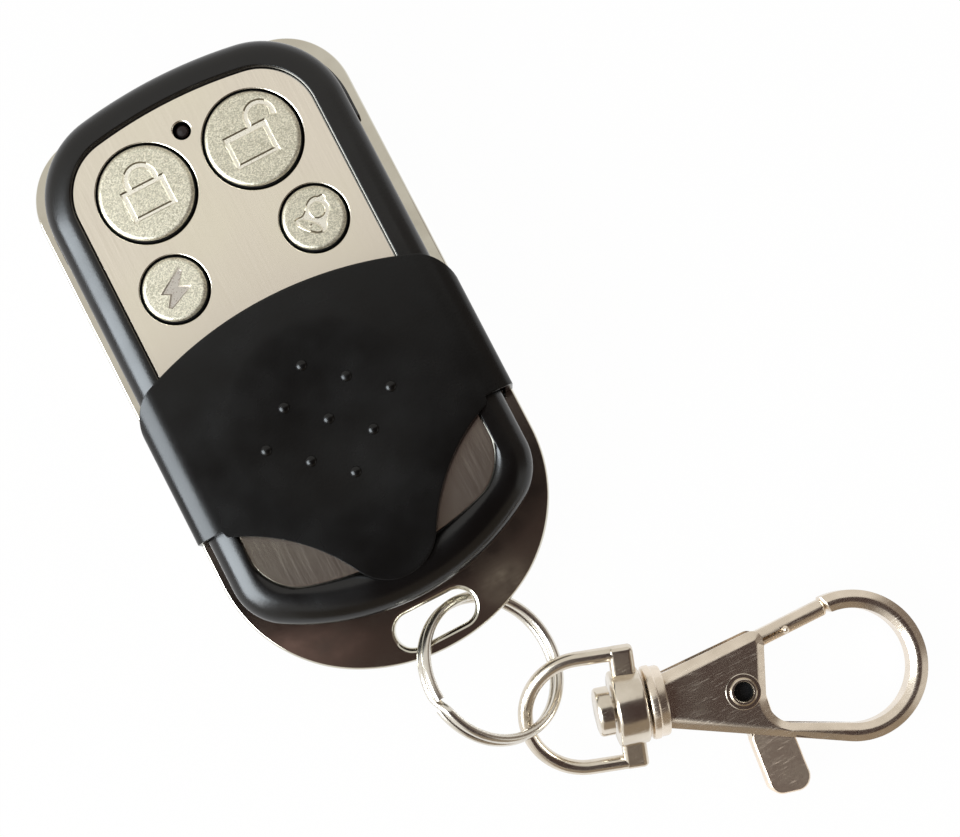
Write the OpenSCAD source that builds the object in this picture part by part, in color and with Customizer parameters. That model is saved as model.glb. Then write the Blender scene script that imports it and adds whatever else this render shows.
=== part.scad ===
// Alarm key fob: a four-button remote with a sliding cover, a split ring and a swivel clasp.
// Millimetres. The origin is on the back face, +Z goes up through the buttons,
// and +Y points from the key loop to the button end.

/* [Case] */
// Width of the chrome rear shell
body_w = 33; // [31:0.5:36]
// Distance from the origin to the button end
head_reach = 30; // [29:0.5:33]
// Distance from the origin to the loop end
loop_reach = 30.6; // [29.5:0.1:33]
// Corner radius at the button end
head_corner = 6.8; // [6:0.1:8]
// Height of the seam between the shell and the bezel
rim_z = 7.3; // [6.8:0.1:7.8]
// Height of the face plate's top
face_z = 12.5; // [12:0.1:14]
// Wall of the rear shell
shell_wall = 1.3; // [1:0.1:1.6]
// How far the back edge rounds inwards
edge_round = 3; // [2:0.1:3.6]
// Height over which the back edge rounds
edge_rise = 4.5; // [3.5:0.1:5.5]
// How far the back sweeps up at the loop end
tail_sweep = 8; // [6:0.5:9]

/* [Key loop] */
// Length of the key slot
slot_l = 8.1; // [7:0.1:9]
// Width of the key slot
slot_w = 3.3; // [3:0.1:3.8]
// Width of the bar outside the slot
bar_w = 1.4; // [1.2:0.1:2]
// Thickness of the tab that holds the slot
tab_t = 2.6; // [2:0.1:3]
// Chamfer round the slot
slot_bevel = 0.35; // [0.2:0.05:0.5]

/* [Bezel] */
// Chrome ledge left outside the bezel wall
rim_ledge = 1.25; // [1:0.05:1.5]
// Width of the rounded rim round the face plate
bezel_rim = 2.99; // [2.8:0.01:3.4]
// Height of the rim's crest above the face plate
crest_rise = 0.5; // [0.3:0.05:0.7]
// Wall between the bezel's outside and its hollow
bezel_wall = 2.2; // [2:0.1:2.6]
// Thickness of the deck under the face plate
deck_t = 1; // [0.8:0.1:1.4]
// Depth of the slide groove
groove_depth = 1; // [0.8:0.05:1.2]
// Height of the slide groove
groove_h = 1.45; // [1.2:0.05:1.8]
// How far the base flange stands out above the groove's end
flange_out = 0.35; // [0.2:0.05:0.5]
// Place of the groove's upper end
notch_y = 18.1; // [17:0.1:19]

/* [Face plate] */
// Thickness of the brushed face plate
plate_t = 0.5; // [0.4:0.05:0.8]
// Clearance round the face plate
plate_gap = 0.06; // [0.02:0.01:0.1]

/* [Buttons] */
// Radius of the two large buttons
big_r = 4.6; // [4.2:0.1:4.9]
// Distance of the large buttons from the plate's sides
big_in = 6.69; // [6.5:0.01:6.9]
// Place of the large buttons
big_y = 19.87; // [19.5:0.01:20.2]
// Radius of the two small buttons
small_r = 3.1; // [2.8:0.1:3.3]
// Distance of the small buttons from the plate's sides
small_in = 4.99; // [4.7:0.01:5.2]
// Place of the small buttons
small_y = 10.56; // [10.2:0.01:10.9]
// Clearance round each button
button_gap = 0.18; // [0.1:0.01:0.25]
// How far a button stands above the face plate
button_proud = 0.4; // [0.2:0.05:0.5]
// Travel of a button
button_travel = 0.35; // [0.2:0.05:0.5]
// Width of the lip that keeps a button in the deck
button_lip = 0.55; // [0.4:0.05:0.65]
// Diameter of the indicator hole
led_d = 1.7; // [1.4:0.1:2]
// Distance of the indicator above the large buttons
led_up = 3.81; // [3.7:0.01:4]

/* [Slide cover] */
// Thickness of the cover's top
cover_t = 1; // [0.9:0.05:1.3]
// Thickness of the cover's side walls
cover_wall = 1; // [0.8:0.05:1.2]
// Clearance between the cover's walls and the bezel
cover_gap = 0.25; // [0.2:0.05:0.35]
// Clearance between the cover's top and the bezel's crest
cover_lift = 0.2; // [0.15:0.05:0.4]
// Place of the cover's upper edge when it is open
cover_y = 5.7; // [5.2:0.01:6]
// Radius of the cover's upper edge
cover_bow = 37.5; // [34:0.5:50]
// Travel of the cover
cover_travel = 21; // [19:0.1:21]
// Length of the hooks that run in the grooves
hook_l = 8.5; // [7:0.1:9]
// Radius of the cover's shoulders
shoulder_r = 1.8; // [1.4:0.1:2.2]
// Distance from the side walls' ends to the tip of the tongue
tongue_l = 11.25; // [10:0.05:12]
// Radius of the tongue's end
tongue_r = 4.6; // [4:0.1:5]
// Radius of the scallops beside the tongue
scallop_r = 18.2; // [17:0.1:20]
// Radius of the thumb dish
dish_r = 9.5; // [8:0.1:10]
// Depth of the thumb dish
dish_depth = 0.3; // [0.2:0.05:0.45]
// Step of the grip bumps across
bump_x = 3.2; // [3:0.1:3.4]
// Step of the grip bumps along
bump_y = 2.75; // [2.5:0.05:3]
// Width of a grip bump
bump_w = 1.3; // [1:0.1:1.6]
// Height of a grip bump
bump_h = 0.35; // [0.25:0.05:0.5]

/* [Electronics] */
// Thickness of the circuit board
board_t = 1; // [0.8:0.1:1.6]
// Side of a switch body
switch_w = 4.5; // [4:0.1:4.8]
// Height of a switch body
switch_h = 2.2; // [1.8:0.1:2.4]
// Diameter of a switch plunger
plunger_d = 2; // [1.6:0.1:2.4]
// Diameter of the battery
cell_d = 7.7; // [7.2:0.1:8.4]
// Length of the battery
cell_l = 28; // [26:0.5:29]
// Wire of the battery spring
cell_wire = 0.4; // [0.3:0.05:0.4]
// Diameter of a case screw
screw_d = 1.6; // [1.4:0.1:1.8]
// Diameter of a case screw's head
screw_head_d = 3.2; // [2.8:0.1:3.4]

/* [Split ring] */
// Outer diameter of the ring
ring_od = 15.2; // [14.6:0.1:15.8]
// Width of the ring's wire across the ring
ring_wire = 0.9; // [0.8:0.05:1]
// Thickness of one turn along the ring's axis
ring_turn = 0.86; // [0.7:0.02:0.9]
// Gap between the two turns
ring_split = 0.06; // [0.04:0.01:0.1]
// Sideways tilt at which the ring lies
ring_tilt = 36.5; // [35:0.5:38]
// Forward pitch at which the ring lies
ring_pitch = 7; // [6:0.5:8]

/* [Swivel eye] */
// Distance from the barrel's middle to the eye's far end
eye_l = 9.85; // [9.5:0.05:10.5]
// Half width of the eye at the middle of its wire
eye_hw = 5.6; // [5.4:0.05:6]
// Diameter of the eye's wire
eye_wire = 1.44; // [1.2:0.02:1.5]
// Diameter of the barrel
barrel_d = 7.3; // [7:0.1:7.6]
// Length of the barrel
barrel_l = 2.9; // [2.6:0.1:3.2]
// Width of the flat bar beside the barrel
eye_bar = 2.4; // [2.2:0.1:2.6]
// Angle between the eye's loop and its barrel
eye_droop = 6; // [5:0.1:7]
// Roll of the eye about the swivel
eye_roll = 20; // [16:0.5:24]

/* [Clasp] */
// Heading of the clasp on the table
clasp_heading = -16.5; // [-18:0.5:-15]
// Slope of the clasp towards its hook
clasp_slope = 4.3; // [4:0.05:4.6]
// Diameter of the swivel pin
pin_d = 2.4; // [2.2:0.1:2.8]
// Diameter of the swivel pin's head
pin_head_d = 4.7; // [4.2:0.1:5]
// Thickness of the swivel pin's head
pin_head_t = 1.44; // [1.2:0.02:1.6]
// Running clearance of pins
pin_gap = 0.06; // [0.04:0.01:0.08]
// Play between the swivel's faces
swivel_gap = 0.27; // [0.2:0.01:0.35]
// Diameter of the clasp's flange
flange_d = 7.1; // [6.9:0.1:7.3]
// Thickness of the clasp's flange
flange_t = 1.75; // [1.5:0.05:2]
// Thickness of the clasp's body
clasp_t = 4; // [3.8:0.1:4.4]
// Half width of the clasp's neck
neck_hw = 2.65; // [2.5:0.05:2.8]
// Distance from the barrel to the middle of the hook
hook_x = 21.95; // [21.5:0.05:22.5]
// Outer radius of the hook
hook_r = 7.2; // [7:0.05:7.4]
// Width of the hook's bar
hook_w = 1.73; // [1.6:0.01:1.85]
// Thickness of the hook's bar
hook_t = 2.6; // [2.4:0.1:2.8]
// Distance from the barrel to the rivet
rivet_x = 10.8; // [10.6:0.01:11]
// Diameter of the rivet's shank
rivet_d = 2.3; // [2.2:0.05:2.4]
// Diameter of the hole through the rivet
rivet_hole = 1.76; // [1.5:0.02:1.8]
// Diameter of the rivet's rolled head
rivet_head_d = 3.5; // [3.2:0.1:3.8]
// Thickness of the lever
lever_t = 2.2; // [2:0.05:2.3]
// Clearance on each side of the lever
lever_gap = 0.1; // [0.06:0.01:0.14]
// Width of the gate
gate_w = 1.5; // [1.4:0.02:1.6]
// Clearance between the gate and the hook's tip
gate_gap = 0.2; // [0.16:0.01:0.3]
// Width of the thumb piece
thumb_w = 3.6; // [3.2:0.1:3.8]
// How far the thumb piece stands below the rivet
thumb_l = 8.5; // [8:0.05:8.8]
// Wire of the lever spring
spring_wire = 0.4; // [0.3:0.02:0.44]

/* [Hidden] */
$fn = 48;
// Thickness of the slices that a rounded form is drawn through
skin = 0.01;
// Overrun of cuts
over = 1;

case_hw = body_w / 2;
case_bow_head = 85;
case_corner_tail = 8;
case_swell_tail = 1;
// Rounding of the tab, and where its straight sides begin
tab_swell = 2.3;
tab_corner = 14.4;
tab_side = 12;
// Loop end of the hollow part of the shell, short of the tab
tub_reach = loop_reach - bar_w - slot_w - 0.3;
tab_low = rim_z - tab_t;
slot_y = -(loop_reach - bar_w - slot_w / 2);
slot_far = slot_y + slot_w / 2;
bar_y = -(loop_reach - bar_w / 2);

bezel_hw = case_hw - rim_ledge;
bezel_head = head_reach - 0.26;
bezel_tail = tub_reach - 0.5;
crest_z = face_z + crest_rise;
deck_low = face_z - plate_t - deck_t;
plate_hw = bezel_hw - bezel_rim;
plate_head = bezel_head - 3.02;
plate_tail = bezel_tail - 4.3;
flange_z = rim_z + groove_h;

big_x = plate_hw - big_in;
small_x = plate_hw - small_in;

// Place and radius of each button
BUTTONS = [[-big_x, big_y, big_r], [big_x, big_y, big_r],
           [-small_x, small_y, small_r], [small_x, small_y, small_r]];
lip_gap = 0.1;
lip_t = 0.7;
stem_l = 0.5;
plunger_up = 0.9;
lip_top = deck_low - lip_gap;
stem_low = lip_top - lip_t - stem_l;
switch_top = stem_low - plunger_up;
board_top = switch_top - switch_h;
board_low = board_top - board_t;
led_y = big_y + led_up;

board_hw = bezel_hw - bezel_wall - 0.4;
board_head = bezel_head - bezel_wall - 1;
board_in = shell_wall + 0.3;
cell_z = shell_wall + 0.15 + cell_d / 2;
cell_tail = -17.8;
cell_head = cell_tail + cell_l;
contact_t = 0.4;
contact_h = 5.2;
chip_l = 10;
chip_w = 4;
chip_h = 1.6;
can_d = 6.6;
can_rim = 0.4;
can_h = 2.6;
contact_gap = 2.7;
board_tail = cell_tail - contact_gap;
bay_hw = cell_d / 2 + 0.55;
leg_x = (bay_hw + board_hw) / 2;
nub_d = 3.2;
nub_l = 1.2;

boss_top = 3;
boss_low = 0.6;
post_r = screw_d / 2 + 0.7;
boss_r = screw_head_d / 2 + 0.6;
screw_seat = 1.5;
screw_sunk = 0.35;
screw_gap = 0.1;
screw_tip = 8;
SCREWS = [for (s = [-1, 1]) each [[s * (bezel_hw - 4), head_reach - 6.3], [s * (bezel_hw - 5.2), -11]]];
PILLARS = [for (s = [-1, 1]) each [[s * (board_hw - 3.2), 15], [s * (board_hw - 3.2), -6]]];

// The cover at its open end of travel
stop_gap = 0.1;
hook_high = notch_y - cover_travel - stop_gap;
hook_low = hook_high - hook_l;
cover_end = hook_low - 0.15;
cover_in = bezel_hw + cover_gap;
cover_hw = cover_in + cover_wall;
cover_low = crest_z + cover_lift;
cover_top = cover_low + cover_t;
hook_z = rim_z + 0.25;
hook_t_z = groove_h - 0.5;
wall_z = flange_z + 0.2;
tongue_c = cover_end - tongue_l + tongue_r;
scallop_x = case_hw - 2.8;
scallop_y = cover_end - 0.6;
grip_y = (cover_y + cover_end - tongue_l) / 2 + 1.73;

// The ring hangs in the slot, over the bar on one side and under the tab on the other
ring_r = (ring_od - ring_wire) / 2;
ring_rise = (ring_turn + ring_split) / 2;
ring_c = [slot_l / 2 - 1.5, slot_far - 1.1 - ring_r * cos(ring_pitch), tab_low + 0.77];
ring_end = 190;
ring_cut = 3;
// Angle round the ring at which the eye hangs
hang_at = 305;

// Turns a point of the lying ring into the fob's frame
function pitch_x(p, a) = [p[0], p[1] * cos(a) - p[2] * sin(a), p[1] * sin(a) + p[2] * cos(a)];
function turn_y(p, a) = [p[0] * cos(a) + p[2] * sin(a), p[1], -p[0] * sin(a) + p[2] * cos(a)];
function turn_z(p, a) = [p[0] * cos(a) - p[1] * sin(a), p[0] * sin(a) + p[1] * cos(a), p[2]];
hang_point = ring_c + pitch_x(turn_y([ring_r * cos(hang_at), ring_r * sin(hang_at), 0], ring_tilt), -ring_pitch);
// The hanging point seen from the barrel, along the clasp, across it and above it
hang_from_barrel = [-(eye_l - 2.72), 1.23, -0.85];
clasp_c = hang_point - turn_z(turn_y(hang_from_barrel, clasp_slope), clasp_heading);

flange_x = barrel_l / 2 + swivel_gap;
body_x = flange_x + flange_t;
pin_head_x = -barrel_l / 2 - swivel_gap - pin_head_t;
pin_end = body_x + 1.6;
rivet_y = -0.38;
hook_y = 0.2;
hook_in = hook_r - hook_w;
hook_mid = hook_r - hook_w / 2;
// Angle of the clasp's straight edges, drawn from the neck to the hook
flank = asin((hook_r - neck_hw) / norm([hook_x - body_x, hook_y]));
channel_hw = lever_t / 2 + lever_gap;
cheek_head_t = 0.35;
gate_turn = 16.3;
gate_from = [rivet_x + 2.46, rivet_y + 4.56];
// Distance from the rivet to the gate's end
gate_reach = norm([hook_x - 2.1, hook_y + 5.9] - [rivet_x, rivet_y]);
tip_turn = 114;
// End of the channel that the lever moves in
channel_end = rivet_x + 4.9;
spring_r = 1.62;
spring_pitch = 0.86;
coil_slot = 0.72;

// Points of an arc about c
function arc(c, r, from, to, n) = [for (k = [0 : n]) c + r * [cos(from + (to - from) * k / n),
    sin(from + (to - from) * k / n)]];

// Half an outline: two corners joined by one shallow bow, tangent to the sides and to each other
function end_points(hw, reach, bow, corner) =
    let (lift = sqrt(pow(bow - corner, 2) - pow(hw - corner, 2)),
         y = reach - bow + lift,
         a = atan2(lift, hw - corner))
    concat(arc([hw - corner, y], corner, 0, a, 8),
        arc([0, reach - bow], bow, a, 180 - a, 8),
        arc([corner - hw, y], corner, 180 - a, 180, 8));
function flipped(points) = [for (p = points) -p];
function outline(hw, head, head_bow, head_r, tail, tail_bow, tail_r) =
    concat(end_points(hw, head, head_bow, head_r), flipped(end_points(hw, tail, tail_bow, tail_r)));

// Outlines of the shell, bezel and face plate, drawn in by d
function case_outline(d, head_in, tail) = outline(case_hw - d, head_reach - head_in, case_bow_head, head_corner - d,
    tail, case_hw - d + case_swell_tail, case_corner_tail - d);
function bezel_outline(d) = outline(bezel_hw - d, bezel_head - d, bezel_hw + 33 - d, 8.65 - d, bezel_tail - d,
    bezel_hw + 8.6 - d, 5.5 - d);
function plate_outline(d) = outline(plate_hw - d, plate_head - d, plate_hw + 33 - d, 5.63 - d, plate_tail - d,
    plate_hw + 18, 5 - d);

// Share of a rounded edge that is still drawn in at height h, 1 at the back and 0 above the edge
function edge_share(h) = 1 - sqrt(1 - pow(1 - min(h, edge_rise) / edge_rise, 2));

module slice(z, points) translate([0, 0, z]) linear_extrude(skin) polygon(points);

// Joins rounded forms into one mesh
module one_mesh() resize([0, 0, 0]) children();

// Closed form of the shell without its tab, drawn in by wall up to top
module tub_form(wall, top, rim) {
    levels = [0, 0.25, 0.7, 1.4, 2.4, 3.4, edge_rise];
    hull() {
        for (h = levels)
            let (d = edge_round * edge_share(h) + wall)
                slice(h + wall, case_outline(d, d, tub_reach - tail_sweep * edge_share(h) - wall));
        slice(rim_z - 0.3, case_outline(wall, wall, tub_reach - wall));
        slice(top - skin, case_outline(wall + rim, wall + rim, tub_reach - wall - rim));
    }
}

// Thin nose that carries the key slot, rounded above and below
module tab_form() {
    levels = [[0, 0.5], [0.35, 0.1], [0.8, 0], [tab_t - 1, 0], [tab_t - 0.4, 0.25], [tab_t - skin, 0.8]];
    hull()
        for (v = levels)
            slice(tab_low + v[0], flipped(concat(end_points(case_hw - v[1], loop_reach - v[1],
                case_hw - v[1] + tab_swell, tab_corner - v[1]),
                [[v[1] - case_hw, tab_side], [case_hw - v[1], tab_side]])));
}

function slot_points(d) = concat(
    arc([slot_l / 2 - slot_w / 2, slot_y], slot_w / 2 + d, -90, 90, 12),
    arc([slot_w / 2 - slot_l / 2, slot_y], slot_w / 2 + d, 90, 270, 12));

module key_slot() {
    translate([0, 0, tab_low - over]) linear_extrude(tab_t + 2 * over) polygon(slot_points(0));
    hull() {
        slice(rim_z - slot_bevel, slot_points(0));
        slice(rim_z + slot_bevel, slot_points(2 * slot_bevel));
    }
    hull() {
        slice(tab_low - slot_bevel, slot_points(2 * slot_bevel));
        slice(tab_low + slot_bevel, slot_points(0));
    }
}

module at_screws() for (p = SCREWS) translate([p[0], p[1], 0]) children();

module rear_shell() {
    color("gainsboro")
        difference() {
            union() {
                one_mesh()
                    difference() {
                        union() {
                            tub_form(0, rim_z, 0.15);
                            tab_form();
                        }
                        tub_form(shell_wall, rim_z + over, 0);
                        key_slot();
                    }
                at_screws() translate([0, 0, boss_low]) cylinder(r = boss_r, h = boss_top - boss_low);
                for (p = PILLARS)
                    translate([p[0], p[1], shell_wall / 2]) cylinder(r = 1.2, h = board_low - shell_wall / 2);
            }
            at_screws() {
                translate([0, 0, -over]) cylinder(d = screw_d + 2 * screw_gap, h = boss_top + 2 * over);
                translate([0, 0, -over]) cylinder(d = screw_head_d + 2 * screw_gap, h = screw_seat + over);
            }
        }
}

module case_screws() {
    color("dimgray")
        at_screws()
            difference() {
                union() {
                    translate([0, 0, screw_sunk]) cylinder(d = screw_head_d, h = screw_seat - screw_sunk);
                    translate([0, 0, screw_seat]) cylinder(d = screw_d, h = screw_tip - screw_seat);
                }
                for (a = [0, 90])
                    rotate(a) translate([-0.8, -0.2, screw_sunk - over]) cube([1.6, 0.4, 0.6 + over]);
            }
}

module button_holes(gap) {
    for (b = BUTTONS) translate([b[0], b[1], deck_low - over]) cylinder(r = b[2] + gap, h = 3 * over + plate_t);
    translate([0, led_y, deck_low - over]) cylinder(d = led_d, h = 3 * over + plate_t);
}

// Rounded rim, wider over the base flange above the groove's end
module bezel_form() {
    crest = bezel_rim * 0.6;
    levels = [[rim_z, 0], [face_z - 1.6, 0], [face_z - 0.6, 0.28], [face_z + 0.1, 0.85],
        [crest_z - 0.1, crest - 0.5], [crest_z - skin, crest]];
    hull()
        for (v = levels)
            slice(v[0], bezel_outline(v[1]));
}

module base_flange() {
    intersection() {
        translate([0, 0, rim_z]) linear_extrude(groove_h) polygon(outline(bezel_hw + flange_out, bezel_head + 0.1,
            bezel_hw + 33, 8.65, bezel_tail, bezel_hw + 8.6, 5.5));
        translate([-body_w, notch_y, 0]) cube([2 * body_w, head_reach, face_z]);
    }
}

module plate_pocket() {
    hull() {
        slice(face_z - plate_t, plate_outline(-plate_gap));
        slice(face_z, plate_outline(-plate_gap));
    }
    hull() {
        slice(face_z - 2 * skin, plate_outline(-plate_gap));
        slice(crest_z + crest_rise, plate_outline(-bezel_rim * 0.75));
    }
}

module slide_grooves() {
    for (s = [-1, 1])
        translate([s * (bezel_hw - groove_depth + case_hw) - case_hw, hook_low - stop_gap, rim_z - over])
            cube([2 * case_hw, notch_y - hook_low + stop_gap, groove_h + over]);
}

module front_bezel() {
    color("#16171a")
        difference() {
            union() {
                one_mesh()
                    difference() {
                        union() {
                            bezel_form();
                            base_flange();
                        }
                        translate([0, 0, rim_z - over])
                            linear_extrude(deck_low - rim_z + over) polygon(bezel_outline(bezel_wall));
                        plate_pocket();
                        slide_grooves();
                    }
                at_screws() translate([0, 0, boss_top]) cylinder(r = post_r, h = deck_low + deck_t / 2 - boss_top);
            }
            button_holes(button_gap);
            at_screws() translate([0, 0, boss_top - over])
                cylinder(d = screw_d + screw_gap, h = screw_tip + 0.5 - boss_top + over);
        }
}

module face_plate() {
    color("#d6cfbf")
        difference() {
            translate([0, 0, face_z - plate_t]) linear_extrude(plate_t) polygon(plate_outline(0));
            button_holes(button_gap);
        }
}

// Domed cap with a lip under the deck and a stem that presses the switch
module button(b) {
    top = face_z + button_proud;
    edge = 0.3;
    color("#c9c7c0")
        translate([b[0], b[1], 0])
            rotate_extrude()
                polygon([[0, stem_low], [1.1, stem_low], [1.1, lip_top - lip_t], [b[2] + button_lip, lip_top - lip_t],
                    [b[2] + button_lip, lip_top], [b[2], lip_top], [b[2], top - edge],
                    [b[2] - edge * 0.3, top - edge * 0.3], [b[2] - edge, top], [0, top]]);
}

module plunger(b) {
    color("black")
        translate([b[0], b[1], switch_top - 0.8]) cylinder(d = plunger_d, h = plunger_up + 0.8);
}

module switch_body(b) {
    color("#3a3a3c")
        translate([b[0], b[1], board_top])
            difference() {
                translate([-switch_w / 2, -switch_w / 2, 0]) cube([switch_w, switch_w, switch_h]);
                translate([0, 0, switch_h - 0.8 - button_travel - 0.1]) cylinder(d = plunger_d + 0.2, h = switch_h);
            }
}

// Plan of the cover: bowed upper edge, straight sides, and a tongue between two scallops
module cover_plan() {
    a = [scallop_x, scallop_y];
    t = [0, tongue_c];
    d = norm(t - a);
    e = (pow(scallop_r, 2) - pow(scallop_r + tongue_r, 2) + d * d) / (2 * d);
    n = (t - a) / d;
    c = a + e * n + sqrt(scallop_r * scallop_r - e * e) * [-n[1], n[0]];
    // Where a scallop meets the tongue's end
    meet = t + tongue_r * (c - t) / norm(c - t);
    intersection() {
        translate([0, cover_y - cover_bow]) circle(r = cover_bow, $fn = 96);
        translate([-body_w, cover_end]) square([2 * body_w, cover_y - cover_end]);
    }
    difference() {
        translate([-scallop_x, meet[1]]) square([2 * scallop_x, cover_end - meet[1] + skin]);
        for (s = [-1, 1]) translate([s * c[0], c[1]]) circle(r = scallop_r, $fn = 96);
    }
    translate(t) circle(r = tongue_r);
}

// Cross-section of the cover, with rounded shoulders
module cover_section(hw, low, top, r) {
    translate([-hw, low]) square([2 * hw, top - low - r]);
    translate([r - hw, low]) square([2 * (hw - r), top - low]);
    for (s = [-1, 1]) translate([s * (hw - r), top - r]) circle(r = r);
}

module along_y(from, to) translate([0, to, 0]) rotate([90, 0, 0]) linear_extrude(to - from) children();

// Shallow hollow with a flat floor and a sloping edge
module thumb_dish() {
    translate([0, 0, -dish_depth]) cylinder(r1 = dish_r * 0.78, r2 = dish_r, h = dish_depth);
}

// Low round bump with a foot sunk into the cover
module grip_bump() {
    translate([0, 0, -cover_t / 3]) cylinder(d = bump_w, h = cover_t / 3 + bump_h * 0.4);
    translate([0, 0, bump_h * 0.4]) cylinder(d1 = bump_w, d2 = bump_w * 0.5, h = bump_h * 0.6);
}

module slide_cover() {
    tail = cover_end - tongue_l;
    color("#1a1b1e") {
        difference() {
            intersection() {
                translate([0, 0, hook_z]) linear_extrude(cover_top) cover_plan();
                along_y(tail - over, cover_y + over) cover_section(cover_hw, hook_z, cover_top, shoulder_r);
            }
            along_y(tail - 2 * over, cover_y + 2 * over)
                cover_section(cover_in, hook_z - over, cover_low, shoulder_r * 0.6);
            translate([-body_w, hook_high, 0]) cube([2 * body_w, cover_y - hook_high + over, wall_z]);
            translate([0, grip_y, cover_top]) thumb_dish();
        }
        for (s = [-1, 1])
            translate([s * (cover_in - groove_depth / 2 + 0.05) - groove_depth / 2, hook_low, hook_z])
                cube([groove_depth, hook_l, hook_t_z]);
        for (i = [-1 : 1], j = [-1 : 1])
            translate([(i - j) * bump_x, grip_y + (i + j) * bump_y, cover_top - dish_depth]) grip_bump();
    }
}

module circuit_board() {
    color("#1f5a37")
        translate([0, 0, board_low])
            difference() {
                linear_extrude(board_t)
                    difference() {
                        intersection() {
                            polygon(outline(board_hw, board_head, 80, 4, -board_tail, 200, 2));
                            polygon(case_outline(board_in, board_in, tub_reach - board_in));
                        }
                        translate([-bay_hw, board_tail - over])
                            square([2 * bay_hw, cell_head + contact_t - board_tail + over]);
                    }
                at_screws() translate([0, 0, -over]) cylinder(r = post_r + 0.4, h = board_t + 2 * over);
            }
}

module encoder_chip() {
    color("#202022") translate([leg_x - chip_w / 2, -4, board_top]) cube([chip_w, chip_l, chip_h]);
}

module saw_resonator() {
    color("silver") translate([-leg_x, 2, board_top]) {
        cylinder(d = can_d + 2 * can_rim, h = 0.6);
        cylinder(d = can_d, h = can_h);
    }
}

module rf_transistor() {
    color("#202022") translate([-leg_x - 1.5, -6, board_top]) cube([3, 1.6, 1.1]);
}

// Short air coil of the transmitter, drawn as its outer sleeve
module antenna_coil() {
    color("#b87333")
        translate([leg_x, -13.8, board_top + 1.6])
            rotate([90, 0, 0])
                difference() {
                    cylinder(d = 3.2, h = 5);
                    translate([0, 0, -over]) cylinder(d = 2.2, h = 5 + 2 * over);
                }
}

module capacitors() {
    color("#c9a46a")
        for (k = [0 : 2]) translate([-leg_x - 1.6, -17.3 + 1.6 * k, board_top]) cube([2, 1, 0.8]);
}

module resistors() {
    color("#2b2b2b")
        for (k = [0 : 3]) translate([-leg_x + 1.2, -18.2 + 1.6 * k, board_top]) cube([1.8, 0.9, 0.6]);
}

module indicator_led() {
    lens_r = led_d / 2 - 0.08;
    color("#301010")
        translate([0, led_y, board_top]) {
            cylinder(r = lens_r + 0.5, h = 0.9);
            cylinder(r = lens_r, h = face_z - 0.35 - lens_r - board_top);
            translate([0, 0, face_z - 0.35 - lens_r - board_top]) sphere(r = lens_r);
        }
}

module battery() {
    color("#c9b26a")
        translate([0, cell_tail, cell_z])
            rotate([-90, 0, 0]) {
                cylinder(d = cell_d, h = cell_l - nub_l);
                cylinder(d = nub_d, h = cell_l);
            }
}

// Solid of one tube through closed rings of points
module tube(rings) {
    n = len(rings);
    m = len(rings[0]);
    sides = [for (i = [0 : n - 2], j = [0 : m - 1])
        each [[i * m + j, (i + 1) * m + j, i * m + (j + 1) % m],
              [i * m + (j + 1) % m, (i + 1) * m + j, (i + 1) * m + (j + 1) % m]]];
    first = [for (j = [1 : m - 2]) [0, j, j + 1]];
    last = [for (j = [1 : m - 2]) [(n - 1) * m, (n - 1) * m + j + 1, (n - 1) * m + j]];
    polyhedron([for (r = rings) each r], concat(sides, first, last));
}

// Ring of a tube whose middle runs round the Z axis: radius, angle, height and half sizes
function hoop(r, a, z, half_w, half_t, sides) = [for (j = [0 : sides - 1])
    let (q = -360 * j / sides - 180 / sides, w = r + half_w * cos(q))
        [w * cos(a), w * sin(a), z + half_t * sin(q)]];

// Least gap between turns of a wire through points that are step degrees apart
function least_gap(points, apart, wire) = min([for (i = [0 : len(points) - 1], k = [i + apart : 1 : len(points) - 1])
    norm(points[i] - points[k])]) - wire;

cell_turns = 3;
cell_step = 30;
CELL_COIL = [for (a = [0 : cell_step : 360 * cell_turns])
    let (u = a / (360 * cell_turns), r = cell_d / 2 - 0.75 - 1.65 * u)
        [r, a, cell_wire / 2 + (contact_gap - contact_t - cell_wire) * u]];

module battery_spring() {
    color("silver")
        translate([0, board_tail + contact_t, cell_z])
            rotate([-90, 0, 0])
                tube([for (c = CELL_COIL) hoop(c[0], c[1], c[2], cell_wire / 2, cell_wire / 2, 6)]);
}

module negative_contact() {
    color("silver")
        translate([-bay_hw + 0.05, board_tail, cell_z - contact_h / 2]) cube([2 * bay_hw - 0.1, contact_t, contact_h]);
}

module positive_contact() {
    color("silver")
        translate([-bay_hw + 0.05, cell_head, cell_z - contact_h / 2]) cube([2 * bay_hw - 0.1, contact_t, contact_h]);
}

// Two turns of wire side by side, stepping from the lower turn to the upper one at the cut
module key_ring() {
    span = 720 - 2 * ring_cut;
    step = 6;
    color("#c4bfb4")
        translate(ring_c)
            rotate([-ring_pitch, 0, 0])
                rotate([0, ring_tilt, 0])
                    tube([for (k = [0 : span / step])
                        let (a = k * step,
                             u = min(max((a - 360 + ring_cut + 9) / 18, 0), 1),
                             z = ring_rise * (2 * u * u * (3 - 2 * u) - 1))
                            hoop(ring_r, ring_end + ring_cut + a, z, ring_wire / 2, ring_turn / 2, 8)]);
}

module clasp_frame(roll) translate(clasp_c) rotate([0, clasp_slope, clasp_heading]) rotate([roll, 0, 0]) children();

module along_x(x) translate([x, 0, 0]) rotate([0, 90, 0]) children();

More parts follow.
